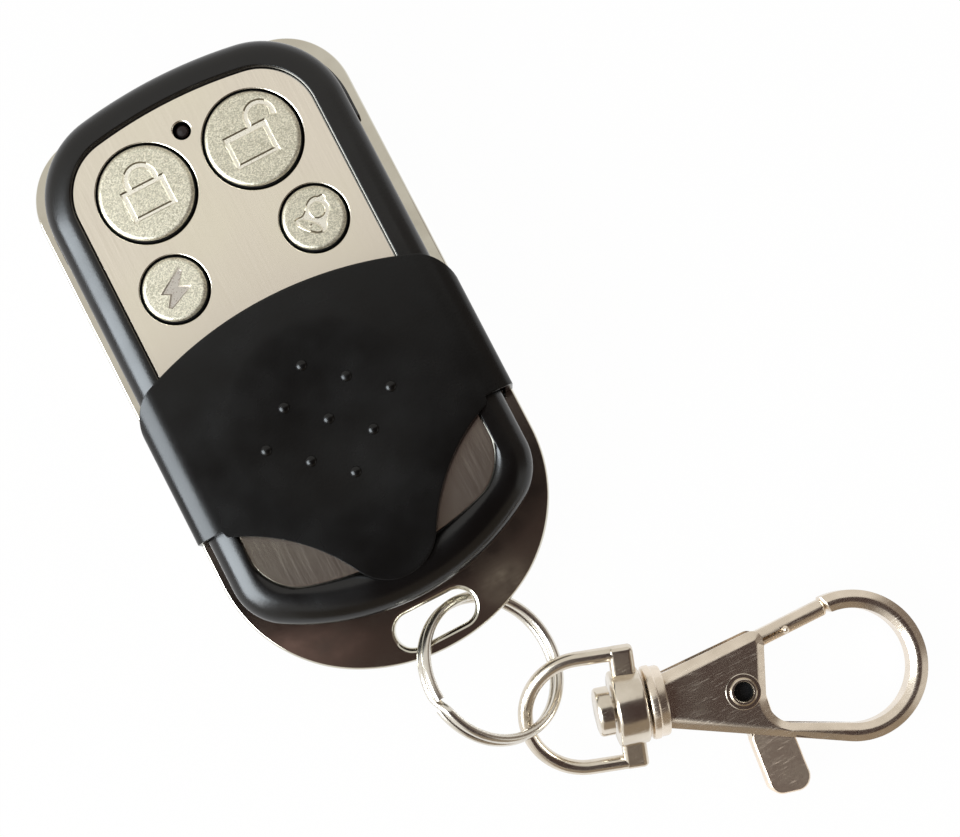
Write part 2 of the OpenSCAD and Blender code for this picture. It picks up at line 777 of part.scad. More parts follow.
// Closed wire loop that bends round the split ring, cast in one with the barrel
module clasp_eye() {
    bend_x = eye_hw - eye_l;
    arm_l = -bend_x;
    bar_t = eye_wire * 1.05;
    color("#b9b3a6")
        clasp_frame(eye_roll)
            difference() {
                union() {
                    along_x(-barrel_l / 2) cylinder(d = barrel_d, h = barrel_l);
                    rotate([0, -eye_droop, 0]) {
                        translate([bend_x, 0, 0])
                            rotate([0, 0, 90])
                                rotate_extrude(angle = 180) translate([eye_hw, 0]) circle(d = eye_wire);
                        for (s = [-1, 1])
                            translate([0, s * eye_hw, 0]) along_x(bend_x) cylinder(d = eye_wire, h = arm_l);
                        translate([-eye_bar / 2, -eye_hw - eye_wire / 2, -bar_t / 2])
                            cube([eye_bar, 2 * eye_hw + eye_wire, bar_t]);
                    }
                }
                along_x(-barrel_l) cylinder(d = pin_d + 2 * pin_gap, h = 2 * barrel_l);
            }
}

module swivel_pin() {
    color("#b9b3a6")
        clasp_frame(0)
            along_x(pin_head_x)
                rotate_extrude()
                    polygon([[0, 0], [pin_head_d / 2 - 0.25, 0], [pin_head_d / 2, 0.25],
                        [pin_head_d / 2, pin_head_t], [pin_d / 2, pin_head_t],
                        [pin_d / 2, pin_end - pin_head_x], [0, pin_end - pin_head_x]]);
}

// Outline of the clasp from neck to hook, and the opening inside the hook
module clasp_outline() {
    hull() {
        translate([body_x - 0.2, -neck_hw]) square([0.4, 2 * neck_hw]);
        translate([hook_x, hook_y]) circle(r = hook_r);
    }
}

module hook_opening() {
    hull() {
        translate([hook_x, hook_y]) circle(r = hook_in);
        translate([hook_x - 5, hook_y - 0.4]) circle(r = hook_in - 1.87);
        translate([hook_x - 7.3, hook_y + 3]) circle(r = 0.6);
    }
}

// The space that the gate leaves in the body's upper corner
module gate_strip() {
    translate(gate_from) rotate(gate_turn) translate([0, -gate_w / 2]) square([hook_x - gate_from[0], gate_w + 1]);
}

module bar_section() {
    intersection() {
        circle(r = hook_t * 0.54);
        square([hook_w, hook_t], center = true);
    }
}

module clasp_body() {
    foot = [hook_x, hook_y] + hook_mid * [-sin(flank), -cos(flank)];
    arm_l = 4.6;
    color("#b9b3a6")
        clasp_frame(0)
            difference() {
                union() {
                    along_x(flange_x) cylinder(d1 = flange_d - 1.5, d2 = flange_d, h = flange_t * 0.35);
                    along_x(flange_x + flange_t * 0.35) cylinder(d = flange_d, h = flange_t * 0.65);
                    translate([hook_x, hook_y, 0])
                        rotate([0, 0, -90 - flank])
                            rotate_extrude(angle = 90 + flank + tip_turn) translate([hook_mid, 0]) bar_section();
                    translate([foot[0], foot[1], 0])
                        rotate([0, 0, -flank])
                            translate([0.5, 0, 0])
                                rotate([90, 0, -90]) linear_extrude(arm_l + 0.5) scale(0.97) bar_section();
                    linear_extrude(clasp_t, center = true)
                        difference() {
                            intersection() {
                                clasp_outline();
                                translate([0, -hook_r]) square([channel_end + 0.9, 2 * hook_r]);
                            }
                            hook_opening();
                            gate_strip();
                        }
                }
                translate([body_x + 3, -hook_r, -channel_hw])
                    cube([channel_end - body_x - 3, 2 * hook_r, 2 * channel_hw]);
                along_x(0) cylinder(d = pin_d, h = pin_end);
                translate([rivet_x, rivet_y, -clasp_t]) cylinder(d = rivet_d, h = 2 * clasp_t);
                // The hook's tip stops short of the circle that the gate's end turns on
                intersection() {
                    translate([rivet_x, rivet_y, -hook_t]) cylinder(r = gate_reach + gate_gap, h = 2 * hook_t);
                    translate([channel_end, hook_y + hook_in * 0.5, -hook_t]) cube([hook_r, hook_r, 2 * hook_t]);
                }
            }
}

module clasp_rivet() {
    half = clasp_t / 2;
    color("#c4bfb4")
        clasp_frame(0)
            translate([rivet_x, rivet_y, 0])
                difference() {
                    union() {
                        translate([0, 0, -half]) cylinder(d = rivet_d, h = clasp_t);
                        for (s = [0, 1])
                            mirror([0, 0, s]) translate([0, 0, half])
                                cylinder(d1 = rivet_head_d, d2 = rivet_head_d - 0.6, h = cheek_head_t);
                    }
                    translate([0, 0, -clasp_t]) cylinder(d = rivet_hole, h = 2 * clasp_t);
                }
}

// Gate, hub and thumb piece in one, forked round the spring
module clasp_lever() {
    thumb_x = rivet_x + 3.2;
    thumb_top = [thumb_x - 0.85, rivet_y - 4.15];
    color("#b9b3a6")
        clasp_frame(0)
            difference() {
                union() {
                    linear_extrude(lever_t, center = true) {
                        hull() {
                            translate([rivet_x, rivet_y]) circle(r = 2);
                            translate(gate_from - [1.6, 0.6]) circle(r = 0.7);
                        }
                        hull() {
                            translate([rivet_x, rivet_y]) circle(r = 2);
                            translate(thumb_top) circle(d = thumb_w);
                        }
                        hull() {
                            translate(thumb_top) circle(d = thumb_w);
                            translate([thumb_x, rivet_y - thumb_l]) circle(d = thumb_w);
                        }
                    }
                    intersection() {
                        translate([gate_from[0], gate_from[1], -lever_t / 2])
                            rotate([0, 0, gate_turn])
                                translate([-2.6, -gate_w / 2, 0]) cube([gate_reach, gate_w, lever_t]);
                        translate([rivet_x, rivet_y, -lever_t]) cylinder(r = gate_reach, h = 2 * lever_t);
                    }
                }
                translate([rivet_x, rivet_y, -lever_t]) cylinder(d = rivet_d + 2 * pin_gap, h = 2 * lever_t);
                translate([rivet_x, rivet_y, -coil_slot]) cylinder(r = 2.6, h = 2 * coil_slot);
            }
}

LEVER_COIL = [for (a = [0 : 15 : 330]) [spring_r * cos(a + 60), spring_r * sin(a + 60), spring_pitch * (a / 330 - 0.5)]];

// One turn of wire round the rivet, with a leg that bears on the gate's root
module lever_spring() {
    end = LEVER_COIL[len(LEVER_COIL) - 1];
    color("silver")
        clasp_frame(0)
            translate([rivet_x, rivet_y, 0])
                one_mesh() {
                    tube([for (k = [0 : len(LEVER_COIL) - 1])
                        hoop(spring_r, 60 + 15 * k, LEVER_COIL[k][2], spring_wire / 2, spring_wire / 2, 6)]);
                    translate([end[0], end[1], end[2]]) rotate([0, 90, 120]) cylinder(d = spring_wire, h = 2.1, $fn = 8);
                }
}

rear_shell();
case_screws();
front_bezel();
face_plate();
button(BUTTONS[0]);  // lock_button
button(BUTTONS[1]);  // unlock_button
button(BUTTONS[2]);  // bolt_button
button(BUTTONS[3]);  // bell_button
plunger(BUTTONS[0]);  // lock_plunger
plunger(BUTTONS[1]);  // unlock_plunger
plunger(BUTTONS[2]);  // bolt_plunger
plunger(BUTTONS[3]);  // bell_plunger
switch_body(BUTTONS[0]);  // lock_switch
switch_body(BUTTONS[1]);  // unlock_switch
switch_body(BUTTONS[2]);  // bolt_switch
switch_body(BUTTONS[3]);  // bell_switch
slide_cover();
circuit_board();
encoder_chip();
saw_resonator();
rf_transistor();
antenna_coil();
capacitors();
resistors();
indicator_led();
battery();
battery_spring();
negative_contact();
positive_contact();
key_ring();
clasp_eye();
swivel_pin();
clasp_body();
clasp_rivet();
clasp_lever();
lever_spring();
echo(clasp_c = clasp_c, ring_c = ring_c, hang_point = hang_point, bar_y = bar_y, tab_low = tab_low,
    board_top = board_top, cover_top = cover_top, flank = flank, gate_reach = gate_reach,
    battery_spring_gap = least_gap([for (c = CELL_COIL) [c[0] * cos(c[1]), c[0] * sin(c[1]), c[2]]],
        270 / cell_step, cell_wire),
    lever_spring_gap = least_gap(LEVER_COIL, 20, spring_wire));
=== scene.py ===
# %% [markdown]
# # An alarm key fob, dressed for the camera
# A remote for a car alarm: a chrome back shell, a black frame round a brushed plate with four silver
# buttons, a black cover that slides over them, and a split ring with a swivel clasp. The solids come
# from the frame. Here each visible solid is drawn again as a smooth surface and gets its finish.

import math

import bmesh
import bpy
import numpy as np
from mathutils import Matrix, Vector
from mathutils.geometry import delaunay_2d_cdt


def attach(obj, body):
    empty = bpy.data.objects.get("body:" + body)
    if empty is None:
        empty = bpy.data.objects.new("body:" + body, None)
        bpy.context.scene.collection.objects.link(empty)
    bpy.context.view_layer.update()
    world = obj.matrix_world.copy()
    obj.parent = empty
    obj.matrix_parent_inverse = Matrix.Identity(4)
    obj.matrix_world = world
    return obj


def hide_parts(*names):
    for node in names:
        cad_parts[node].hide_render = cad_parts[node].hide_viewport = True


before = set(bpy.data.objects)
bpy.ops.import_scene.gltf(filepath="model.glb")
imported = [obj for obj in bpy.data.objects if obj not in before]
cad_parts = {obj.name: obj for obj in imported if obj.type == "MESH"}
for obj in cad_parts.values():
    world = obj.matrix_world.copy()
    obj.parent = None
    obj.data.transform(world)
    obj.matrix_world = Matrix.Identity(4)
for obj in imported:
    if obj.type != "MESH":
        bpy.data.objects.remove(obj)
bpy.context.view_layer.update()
MM = 0.001

# %% [markdown]
# ## Camera
# The photograph was taken from almost straight above, with the fob turned 27 degrees. The place, the turn
# and the lens were fitted to the buttons and the straight edges, so that the render can be laid over the
# photograph. A guess by eye would leave the clasp, which lies far from the middle, out of place.

# %% Camera
FILM_WIDTH, FOCAL_LENGTH = 36.0, 75.0
CAMERA_AT = Vector((7.950, -27.504, 196.207))
CAMERA_TURN = (4.5911, 0.8500, -27.4085)

lens = bpy.data.cameras.new("view")
lens.sensor_fit = "HORIZONTAL"
lens.sensor_width = FILM_WIDTH
lens.lens = FOCAL_LENGTH
lens.clip_start, lens.clip_end = 0.01, 20.0
camera = bpy.data.objects.new("view", lens)
camera.location = CAMERA_AT * MM
camera.rotation_euler = [math.radians(a) for a in CAMERA_TURN]
bpy.context.scene.collection.objects.link(camera)
bpy.context.scene.camera = camera
print("camera", round(CAMERA_AT.z), "mm up, lens", FOCAL_LENGTH)

# %% [markdown]
# ## Shader maths
# A material is a small graph of nodes. It could be wired by hand, one link at a time, but then the pattern
# is hard to read. The class below wraps an output socket, so that a pattern can be written as an
# expression, such as spark * 0.6 + crowd * 0.5, and each operator adds the Math node that it needs. The
# reflected forms let a number stand first, as in 1 - mask.


# %% Shader maths
class Signal:
    """An output socket with arithmetic: each operator adds one Math node to the same tree."""

    def __init__(self, tree, socket):
        self.tree = tree
        self.socket = socket

    def math(self, operation, *others):
        """Math node that takes this signal first and the others after it."""
        return make_node(self.tree, "ShaderNodeMath", {"operation": operation}, [self, *others])

    def __add__(self, other):
        return self.math("ADD", other)

    def __mul__(self, other):
        return self.math("MULTIPLY", other)

    def __sub__(self, other):
        return self.math("SUBTRACT", other)

    def __rsub__(self, other):
        return make_node(self.tree, "ShaderNodeMath", {"operation": "SUBTRACT"}, [other, self])

    __radd__ = __add__
    __rmul__ = __mul__


def make_node(tree, kind, settings=None, sockets=None, output=0):
    """Any node: settings come first, then sockets by place or name, from numbers, colours or Signals."""
    made = tree.nodes.new(kind)
    for key, value in (settings or {}).items():
        setattr(made, key, value)
    pairs = enumerate(sockets) if isinstance(sockets, list) else (sockets or {}).items()
    for key, value in pairs:
        socket = made.inputs[key]
        if isinstance(value, Signal):
            tree.links.new(value.socket, socket)
        elif socket.type == "RGBA" and len(value) == 3:
            socket.default_value = (*value, 1.0)
        else:
            socket.default_value = value
    return Signal(tree, made.outputs[output])


# %% [markdown]
# ## A finish
# Every finish here is one Principled shader. What is the same all over goes straight on its sockets, and
# what changes over the surface is linked to them. The patterns read Object coordinates, in millimetres, so
# that they stay on the piece when it moves.


# %% A finish
class Finish:
    """A material under one Principled shader: steady values are set on it, patterns are linked to it."""

    def __init__(self, name, **steady):
        self.material = bpy.data.materials.new(name)
        self.material.use_nodes = True
        self.tree = self.material.node_tree
        self.shader = self.tree.nodes["Principled BSDF"]
        for key, value in steady.items():
            socket = self.shader.inputs[key.replace("_", " ")]
            socket.default_value = (*value, 1.0) if isinstance(value, tuple) else value

    def node(self, kind, settings=None, sockets=None, output=0):
        """Any node in this material's tree."""
        return make_node(self.tree, kind, settings, sockets, output)

    def place(self, stretch=(1, 1, 1), turn=(0, 0, 0)):
        """Object coordinates in millimetres, turned about the axes and stretched."""
        here = self.node("ShaderNodeTexCoord", output=3)
        scale = tuple(s / MM for s in stretch)
        return self.node("ShaderNodeMapping", {}, {"Vector": here, "Rotation": turn, "Scale": scale})

    def noise(self, where, scale, detail=2.0, rough=0.5):
        """Cloudy pattern, with so many waves to a millimetre of the place given."""
        sockets = {"Vector": where, "Scale": scale, "Detail": detail, "Roughness": rough}
        return self.node("ShaderNodeTexNoise", {}, sockets)

    def ramp(self, signal, low, high, from_value=0.0, to_value=1.0):
        """Straight ramp of a signal between low and high, level outside them."""
        ends = {"From Min": low, "From Max": high, "To Min": from_value, "To Max": to_value}
        return self.node("ShaderNodeMapRange", {"clamp": True}, {"Value": signal, **ends})

    def blend(self, factor, first, second):
        """Mix of two colours by a factor."""
        return self.node("ShaderNodeMix", {"data_type": "RGBA"}, {0: factor, 6: first, 7: second}, output=2)

    def feed(self, **links):
        """Links Signals to the shader's sockets."""
        for key, value in links.items():
            self.tree.links.new(value.socket, self.shader.inputs[key.replace("_", " ")])
        return self

    def bump(self, height, strength, depth):
        """Bump of a depth in millimetres on the shader's normal."""
        sockets = {"Strength": strength, "Distance": depth * MM, "Height": height}
        return self.feed(Normal=self.node("ShaderNodeBump", {}, sockets))


# %% [markdown]
# ## Black plastic
# The frame and the cover are moulded in black plastic. Up close it has a fine grain, and its gloss drifts a
# little from place to place. One noise gives the grain its bump and its specks, and a second, wider one the
# gloss. A plain black would look like a hole in the picture.

# %% Black plastic
def black_plastic(name, colour, gloss, grain, specular):
    """Black with specks of the grain's size, and a roughness that drifts round the gloss given."""
    finish = Finish(name, Specular_IOR_Level=specular)
    where = finish.place()
    speck = finish.noise(where, grain, 3.0, 0.6)
    cloud = finish.noise(where, 0.22, 2.0, 0.5)
    dark, pale = [tuple(part * c for c in colour) for part in (0.7, 1.3)]
    finish.feed(Base_Color=finish.blend(speck, dark, pale),
                Roughness=finish.ramp(cloud, 0.3, 0.7, gloss - 0.04, gloss + 0.05))
    return finish.bump(speck, 0.3, 0.02)


bezel_black = black_plastic("bezel_black", (0.0026, 0.0022, 0.0020), 0.23, 3.6, 0.46)
cover_black = black_plastic("cover_black", (0.0026, 0.0023, 0.0020), 0.24, 4.5, 0.33)
# Painted shade: this black stands for the shade in the plate's openings, round the buttons' feet and in the
# rivet's bore.
painted_shade_black = black_plastic("painted_shade_black", (0.006, 0.005, 0.005), 0.7, 3.0, 0.2)
print("black plastics", 3)

# %% [markdown]
# ## Brushed plate
# The plate is thin metal, brushed along the fob and dyed the colour of champagne. Brushing is a noise that
# is stretched a long way in one direction. It changes the colour and the gloss and gives a faint bump, and
# a slow cloud over it keeps the plate from looking printed.

# %% Brushed plate
BRUSHING = (7.3, 0.19, 1.0)
BRUSH_TURN = (0.0, 0.0, 0.006)

plate_finish = Finish("brushed_champagne", Metallic=1.0)
streak = plate_finish.noise(plate_finish.place(BRUSHING, BRUSH_TURN), 1.0, 4.0, 0.65)
cloud = plate_finish.noise(plate_finish.place(), 0.11, 1.0, 0.4)
brushed = plate_finish.blend(streak, (0.75, 0.685, 0.585), (0.95, 0.885, 0.77))
clouded = plate_finish.blend(plate_finish.ramp(cloud, 0.35, 0.65, 0.0, 0.5), brushed, (0.88, 0.835, 0.68))
plate_finish.feed(Base_Color=clouded, Roughness=plate_finish.ramp(streak, 0.3, 0.7, 0.14, 0.20))
plate_finish.bump(streak, 0.06, 0.01)
print("brushed", plate_finish.material.name)

# %% [markdown]
# ## Silver paint
# The buttons are sprayed with silver paint. Its flakes lie at chance angles, so some are pale and some are
# dark. Cells of a Voronoi pattern stand for the flakes, and a finer noise for the way they crowd. The floor
# of a sign has less of them, so it is smoother and paler than the top.

# %% Silver paint
FLAKE_SCALE, CROWD_SCALE = 10.5, 5.4


def silver_paint(name, dark, pale, flakes):
    """Silver between a dark and a pale tone; flakes says how far the flakes stand out."""
    finish = Finish(name, Metallic=0.8)
    where = finish.place()
    sockets = {"Vector": where, "Scale": FLAKE_SCALE}
    cell = finish.node("ShaderNodeTexVoronoi", {"feature": "F1"}, sockets, output=1)
    spark = finish.node("ShaderNodeSeparateColor", {}, [cell])
    crowd = finish.noise(where, CROWD_SCALE, 3.0, 0.6)
    tone = finish.ramp(spark * 0.6 + crowd * 0.5, 0.35, 0.8, 0.5 - flakes, 0.5 + flakes)
    gloss, relief = (0.32, 0.4) if flakes > 0.1 else (0.25, 0.05)
    finish.feed(Base_Color=finish.blend(tone, dark, pale),
                Roughness=finish.ramp(crowd, 0.3, 0.7, gloss, gloss + 0.1))
    return finish.bump(spark * 0.5 + crowd, relief, 0.03)


button_silver = silver_paint("button_silver", (0.39, 0.362, 0.275), (0.80, 0.752, 0.61), 0.40)
bolt_silver = silver_paint("bolt_silver", (0.50, 0.46, 0.41), (0.60, 0.555, 0.495), 0.08)
sign_silver = silver_paint("sign_silver", (0.85, 0.81, 0.70), (0.93, 0.89, 0.785), 0.08)
# Painted reflection: a dark coat for the groove sides that mirror the dark room at the loop end.
sign_painted_reflection = silver_paint("sign_painted_reflection", (0.12, 0.10, 0.065), (0.17, 0.145, 0.10), 0.08)
print("silver paints", 4)

# %% [markdown]
# ## Chrome and nickel
# The shell is chromed plastic. The chain is nickel over cast zinc, warm in tone, and has fine scratches.
# Both are metals whose roughness is what tells them apart, so one function makes them all: smears change
# the colour and the gloss, and a stretched noise draws the scratches.

# %% Chrome and nickel
SCRATCHES = (0.6, 7.0, 2.0)
SCRATCH_TURN = (0, 0, 0.5)


def plated(name, colour, dark, gloss, scratch):
    """Plated metal between two tones, with scratches of some strength that roughen it."""
    finish = Finish(name, Metallic=1.0)
    smear = finish.noise(finish.place(), 0.35, 3.0, 0.6)
    line = finish.noise(finish.place(SCRATCHES, SCRATCH_TURN), 1.0, 3.0, 0.7)
    marks = finish.ramp(line, 0.55, 0.8) * scratch
    finish.feed(Base_Color=finish.blend(finish.ramp(smear, 0.35, 0.7), colour, dark),
                Roughness=finish.ramp(smear, 0.3, 0.7, gloss, gloss + 0.07) + marks * 0.25)
    return finish.bump(line, 0.12 * scratch, 0.01)


chrome = plated("chrome_shell", (0.64, 0.61, 0.525), (0.58, 0.545, 0.46), 0.05, 0.15)
nickel = plated("nickel_plate", (0.77, 0.70, 0.60), (0.67, 0.60, 0.50), 0.16, 0.5)
nickel_worn = plated("nickel_worn", (0.85, 0.75, 0.63), (0.71, 0.62, 0.51), 0.21, 1.0)
# Paler nickel for the thumb piece: rubbed wear, and painted light that makes up for the dark card its flat
# mirrors.
nickel_rubbed_and_lit = plated("nickel_rubbed_and_lit", (0.98, 0.83, 0.67), (0.75, 0.63, 0.495), 0.30, 1.0)
steel = plated("steel_wire", (0.78, 0.74, 0.665), (0.69, 0.645, 0.575), 0.19, 0.4)
print("finishes", len(bpy.data.materials))

# %% [markdown]
# ## Surfaces
# Each piece is a grid of points that a formula gives, or a flat face between loops. Blender's own
# primitives and booleans could make them too, but a grid keeps its rows where the curve needs them. The
# helper collects grids and flat faces, joins the points that coincide, and marks the sharp edges.


# %% Surfaces
class Surface:
    """Collects grids and flat faces in millimetres and makes them one mesh."""

    def __init__(self):
        self.points = []
        self.faces = []
        self.finish_of = []
        self.level = set()
        self.count = 0

    def painted(self, place):
        """Gives the faces added since the last call one finish of the mesh's list, or each its own."""
        self.finish_of += np.broadcast_to(place, len(self.faces) - len(self.finish_of)).tolist()
        return self

    def grid(self, points, wrap_rows=False, wrap_columns=False):
        """Quads between neighbours of a rows by columns array of points, joined round where asked."""
        points = np.asarray(points, float)
        rows, columns = points.shape[:2]
        i = np.arange(rows if wrap_rows else rows - 1)[:, None]
        j = np.arange(columns if wrap_columns else columns - 1)[None, :]
        a = (i * columns + j).ravel()
        b = (i * columns + (j + 1) % columns).ravel()
        c = ((i + 1) % rows * columns + (j + 1) % columns).ravel()
        d = ((i + 1) % rows * columns + j).ravel()
        self.faces += (np.stack([a, b, c, d], 1) + self.count).tolist()
        self.points.append(points.reshape(-1, 3))
        self.count += rows * columns
        return self

    def cap(self, ring):
        """One flat face inside a ring of points."""
        self.points.append(np.asarray(ring, float))
        self.level.add(len(self.faces))
        self.faces.append(list(range(self.count, self.count + len(ring))))
        self.count += len(ring)
        return self

    def tube(self, rings):
        """A sweep or a turned skin through rings of points, with both ends closed."""
        return self.grid(rings, wrap_columns=True).cap(rings[0]).cap(rings[-1])

    def flat(self, loops, place):
        """Flat face inside an odd number of loops; place turns its plane points into space."""
        joined = np.vstack(loops)
        starts = np.cumsum([0] + [len(loop) for loop in loops])
        edges = [(int(s + k), int(s + (k + 1) % (e - s))) for s, e in zip(starts[:-1], starts[1:])
                 for k in range(e - s)]
        made = delaunay_2d_cdt([Vector(p) for p in joined], edges, [], 0, 1e-6)
        points = np.array([tuple(p) for p in made[0]])
        triangles = np.array(made[2])
        middles = points[triangles].mean(1)
        inside = sum(contains(loop, middles).astype(int) for loop in loops) % 2 == 1
        self.points.append(place(points))
        self.level.update(range(len(self.faces), len(self.faces) + int(inside.sum())))
        self.faces += (triangles[inside] + self.count).tolist()
        self.count += len(points)
        return self

    def mesh(self, name, finish, sharp=35.0, turn_out=True):
        """Object of the collected faces, merged and facing out, smooth but for flat faces and sharp edges."""
        made = bpy.data.meshes.new(name)
        made.from_pydata((np.vstack(self.points) * MM).tolist(), [], self.faces)
        made.polygons.foreach_set("material_index", np.array(self.painted(0).finish_of, np.int32))
        smooth = np.ones(len(self.faces), bool)
        smooth[list(self.level)] = False
        made.polygons.foreach_set("use_smooth", smooth)
        work = bmesh.new()
        work.from_mesh(made)
        bmesh.ops.remove_doubles(work, verts=work.verts, dist=1e-7)
        bmesh.ops.dissolve_degenerate(work, edges=work.edges, dist=1e-8)
        if turn_out:
            bmesh.ops.recalc_face_normals(work, faces=work.faces)
        work.to_mesh(made)
        work.free()
        # Marking sharp edges makes every face smooth, so the flat faces are noted before and set again after.
        rounded = np.empty(len(made.polygons), bool)
        made.polygons.foreach_get("use_smooth", rounded)
        made.set_sharp_from_angle(angle=math.radians(sharp))
        made.polygons.foreach_set("use_smooth", rounded)
        for coat in finish if isinstance(finish, tuple) else (finish,):
            made.materials.append(coat.material)
        thing = bpy.data.objects.new(name, made)
        bpy.context.scene.collection.objects.link(thing)
        return thing


def contains(loop, points):
    """Even-odd test of points against one loop, for all points at once."""
    a, b = loop, np.roll(loop, -1, 0)
    x, y = points[:, :1], points[:, 1:2]
    rise = np.where(a[:, 1] == b[:, 1], 1e-12, b[:, 1] - a[:, 1])
    reach = (b[:, 0] - a[:, 0]) * (y - a[:, 1]) / rise + a[:, 0]
    crosses = ((a[:, 1] > y) != (b[:, 1] > y)) & (x < reach)
    return crosses.sum(1) % 2 == 1


def show(thing, body, slot, *nodes):
    """Puts a piece on its body, in place of the solids it is drawn from."""
    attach(thing, body)
    if nodes:
        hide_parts(*nodes)
    print(thing.name, len(thing.data.polygons), "faces")
    return thing


# %% Rows and loops
def at_height(z):
    """Function that lifts plane points to one height."""
    return lambda flat: np.column_stack([flat, np.full(len(flat), z)])


def circle(x, y, r, n=72):
    """Loop of n points round a middle: the cosine and sine of equal steps, times the radius."""
    a = np.arange(n) * 2 * np.pi / n
    return np.column_stack([x + r * np.cos(a), y + r * np.sin(a)])


def arc(x, y, r, start, stop, n=25):
    """Part of a circle between two angles in degrees."""
    a = np.radians(np.linspace(start, stop, n))
    return np.column_stack([x + r * np.cos(a), y + r * np.sin(a)])


def rings_of(loops, heights):
    """Stack of plan loops as rows of a grid; a height is one number or one for each point."""
    return np.stack([np.column_stack([loop, np.full(len(loop), z)]) for loop, z in zip(loops, heights)])


def turned(profile, n=96):
    """Rows of a profile of radius and height turned round Z."""
    a = np.arange(n) * 2 * np.pi / n
    r, z = np.asarray(profile, float).T
    upright = np.broadcast_to(z[:, None], (len(r), n))
    return np.stack([r[:, None] * np.cos(a), r[:, None] * np.sin(a), upright], 2)


def spin(axis, degrees):
    """Rotation matrix about X, Y or Z."""
    c, s = math.cos(math.radians(degrees)), math.sin(math.radians(degrees))
    rows = {"x": [(1, 0, 0), (0, c, -s), (0, s, c)],
            "y": [(c, 0, s), (0, 1, 0), (-s, 0, c)],
            "z": [(c, -s, 0), (s, c, 0), (0, 0, 1)]}
    return np.array(rows[axis], float)


print("helpers ready")

# %% [markdown]
# ## Outlines
# The shell, the frame and the plate share one kind of outline: straight sides, and at each end two corners
# joined by a shallow bow. It could be drawn as a spline, but then its ends would not stay true when it is
# set in. The corner circle touches the side and, from inside, the bow circle, so the curve has no kinks.

# %% Outlines
CASE_HW, HEAD, LOOP_END = 16.5, 30.0, 30.6
CASE_BOW, CASE_CORNER = 85, 6.8
RIM_Z, FACE_Z, CREST_Z, PLATE_LOW = 7.3, 12.5, 13.0, 12.0
TUB_TAIL, TUB_CORNER, TAB_SWELL, TAB_CORNER = 25.6, 8.0, 2.3, 14.4
BEZEL_HW, BEZEL_HEAD, BEZEL_TAIL = 15.25, 29.74, 25.1
BEZEL_CORNER, BEZEL_TAIL_CORNER, BEZEL_TAIL_SWELL = 8.65, 5.5, 8.6
PLATE_HW, PLATE_HEAD, PLATE_TAIL = 12.36, 26.78, 20.8
PLATE_CORNER, PLATE_TAIL_CORNER, PLATE_TAIL_SWELL = 5.63, 5, 18
HEAD_SWELL = 33


def end_curve(hw, reach, bow, corner):
    """Corner arc, bow arc and corner arc, from the right side to the left, meeting at equal tangents."""
    lift = math.sqrt((bow - corner) ** 2 - (hw - corner) ** 2)
    y = reach - bow + lift
    a = math.atan2(lift, hw - corner)
    turn = np.linspace(0, a, 25)
    over = np.linspace(a, np.pi - a, 41)[1:-1]
    right = np.column_stack([hw - corner + corner * np.cos(turn), y + corner * np.sin(turn)])
    top = np.column_stack([bow * np.cos(over), reach - bow + bow * np.sin(over)])
    return np.vstack([right, top, right[::-1] * [-1, 1]])


def outline(hw, head, head_bow, head_corner, tail, tail_bow, tail_corner, side=161):
    """Closed loop: head curve, left side, tail curve, right side, with the same count for every size."""
    upper = end_curve(hw, head, head_bow, head_corner)
    lower = -end_curve(hw, tail, tail_bow, tail_corner)
    s = np.linspace(0, 1, side)[1:-1, None]
    left, right = upper[-1] * (1 - s) + lower[0] * s, lower[-1] * (1 - s) + upper[0] * s
    return np.vstack([upper, left, lower, right])


def case_outline(d, tail, swell=1.0, corner=TUB_CORNER):
    """Outline of the shell, set in by d, with its own tail."""
    return outline(CASE_HW - d, HEAD - d, CASE_BOW, CASE_CORNER - d, tail, CASE_HW - d + swell, corner - d)


def bezel_outline(d):
    """Outline of the frame, set in by d."""
    return outline(BEZEL_HW - d, BEZEL_HEAD - d, BEZEL_HW + HEAD_SWELL - d, BEZEL_CORNER - d,
                   BEZEL_TAIL - d, BEZEL_HW + BEZEL_TAIL_SWELL - d, BEZEL_TAIL_CORNER - d)


def plate_outline(d):
    """Outline of the plate, set in by d."""
    return outline(PLATE_HW - d, PLATE_HEAD - d, PLATE_HW + HEAD_SWELL - d, PLATE_CORNER - d,
                   PLATE_TAIL - d, PLATE_HW + PLATE_TAIL_SWELL, PLATE_TAIL_CORNER - d)


print("outline points", len(plate_outline(0)))

# %% [markdown]
# ## Chrome shell
# The back of the fob is one chromed moulding. It is drawn as a stack of outlines: the back edge rounds in
# like a quarter of an ellipse, the loop end sweeps up under the tab, and the tab's edge is rounded. The key
# slot goes through the tab and has a rolled lip. Bevelling a box would not give the sweep under the tab.

# %% Chrome shell
SLOT_HALF, SLOT_R, SLOT_Y = 2.4, 1.65, -27.55
SLOT_LIP, SLOT_CHAMFER, SLOT_FOOT = 0.5, 0.3, 5.0
BACK_ROUND, BACK_IN, BACK_SWEEP = 4.5, 3, 8
TAB_LOW, RIM_ROUND, RIM_HIGH, RIM_IN = 4.7, 0.5, 0.8, 0.22
FLOOR_Z, HOLLOW_IN, SEAT_IN = 1.6, 2.2, 0.02


def slot_loop(d):
    """Stadium round the key slot, widened by d."""
    a = np.linspace(-np.pi / 2, np.pi / 2, 33)
    right = np.column_stack([SLOT_HALF + (SLOT_R + d) * np.cos(a), SLOT_Y + (SLOT_R + d) * np.sin(a)])
    left = np.column_stack([-SLOT_HALF - (SLOT_R + d) * np.cos(a), SLOT_Y - (SLOT_R + d) * np.sin(a)])
    return np.vstack([right, left])


def shell_rings():
    """Rows of the back: the edge rounds in as a quarter ellipse while the loop end sweeps up."""
    t = np.linspace(0, np.pi / 2, 14)
    drawn_in, height = 1 - np.sin(t), BACK_ROUND * (1 - np.cos(t))
    loops = [case_outline(BACK_IN * d + SEAT_IN, TUB_TAIL - BACK_SWEEP * d) for d in drawn_in]
    return loops + [loops[-1]], list(height) + [TAB_LOW]


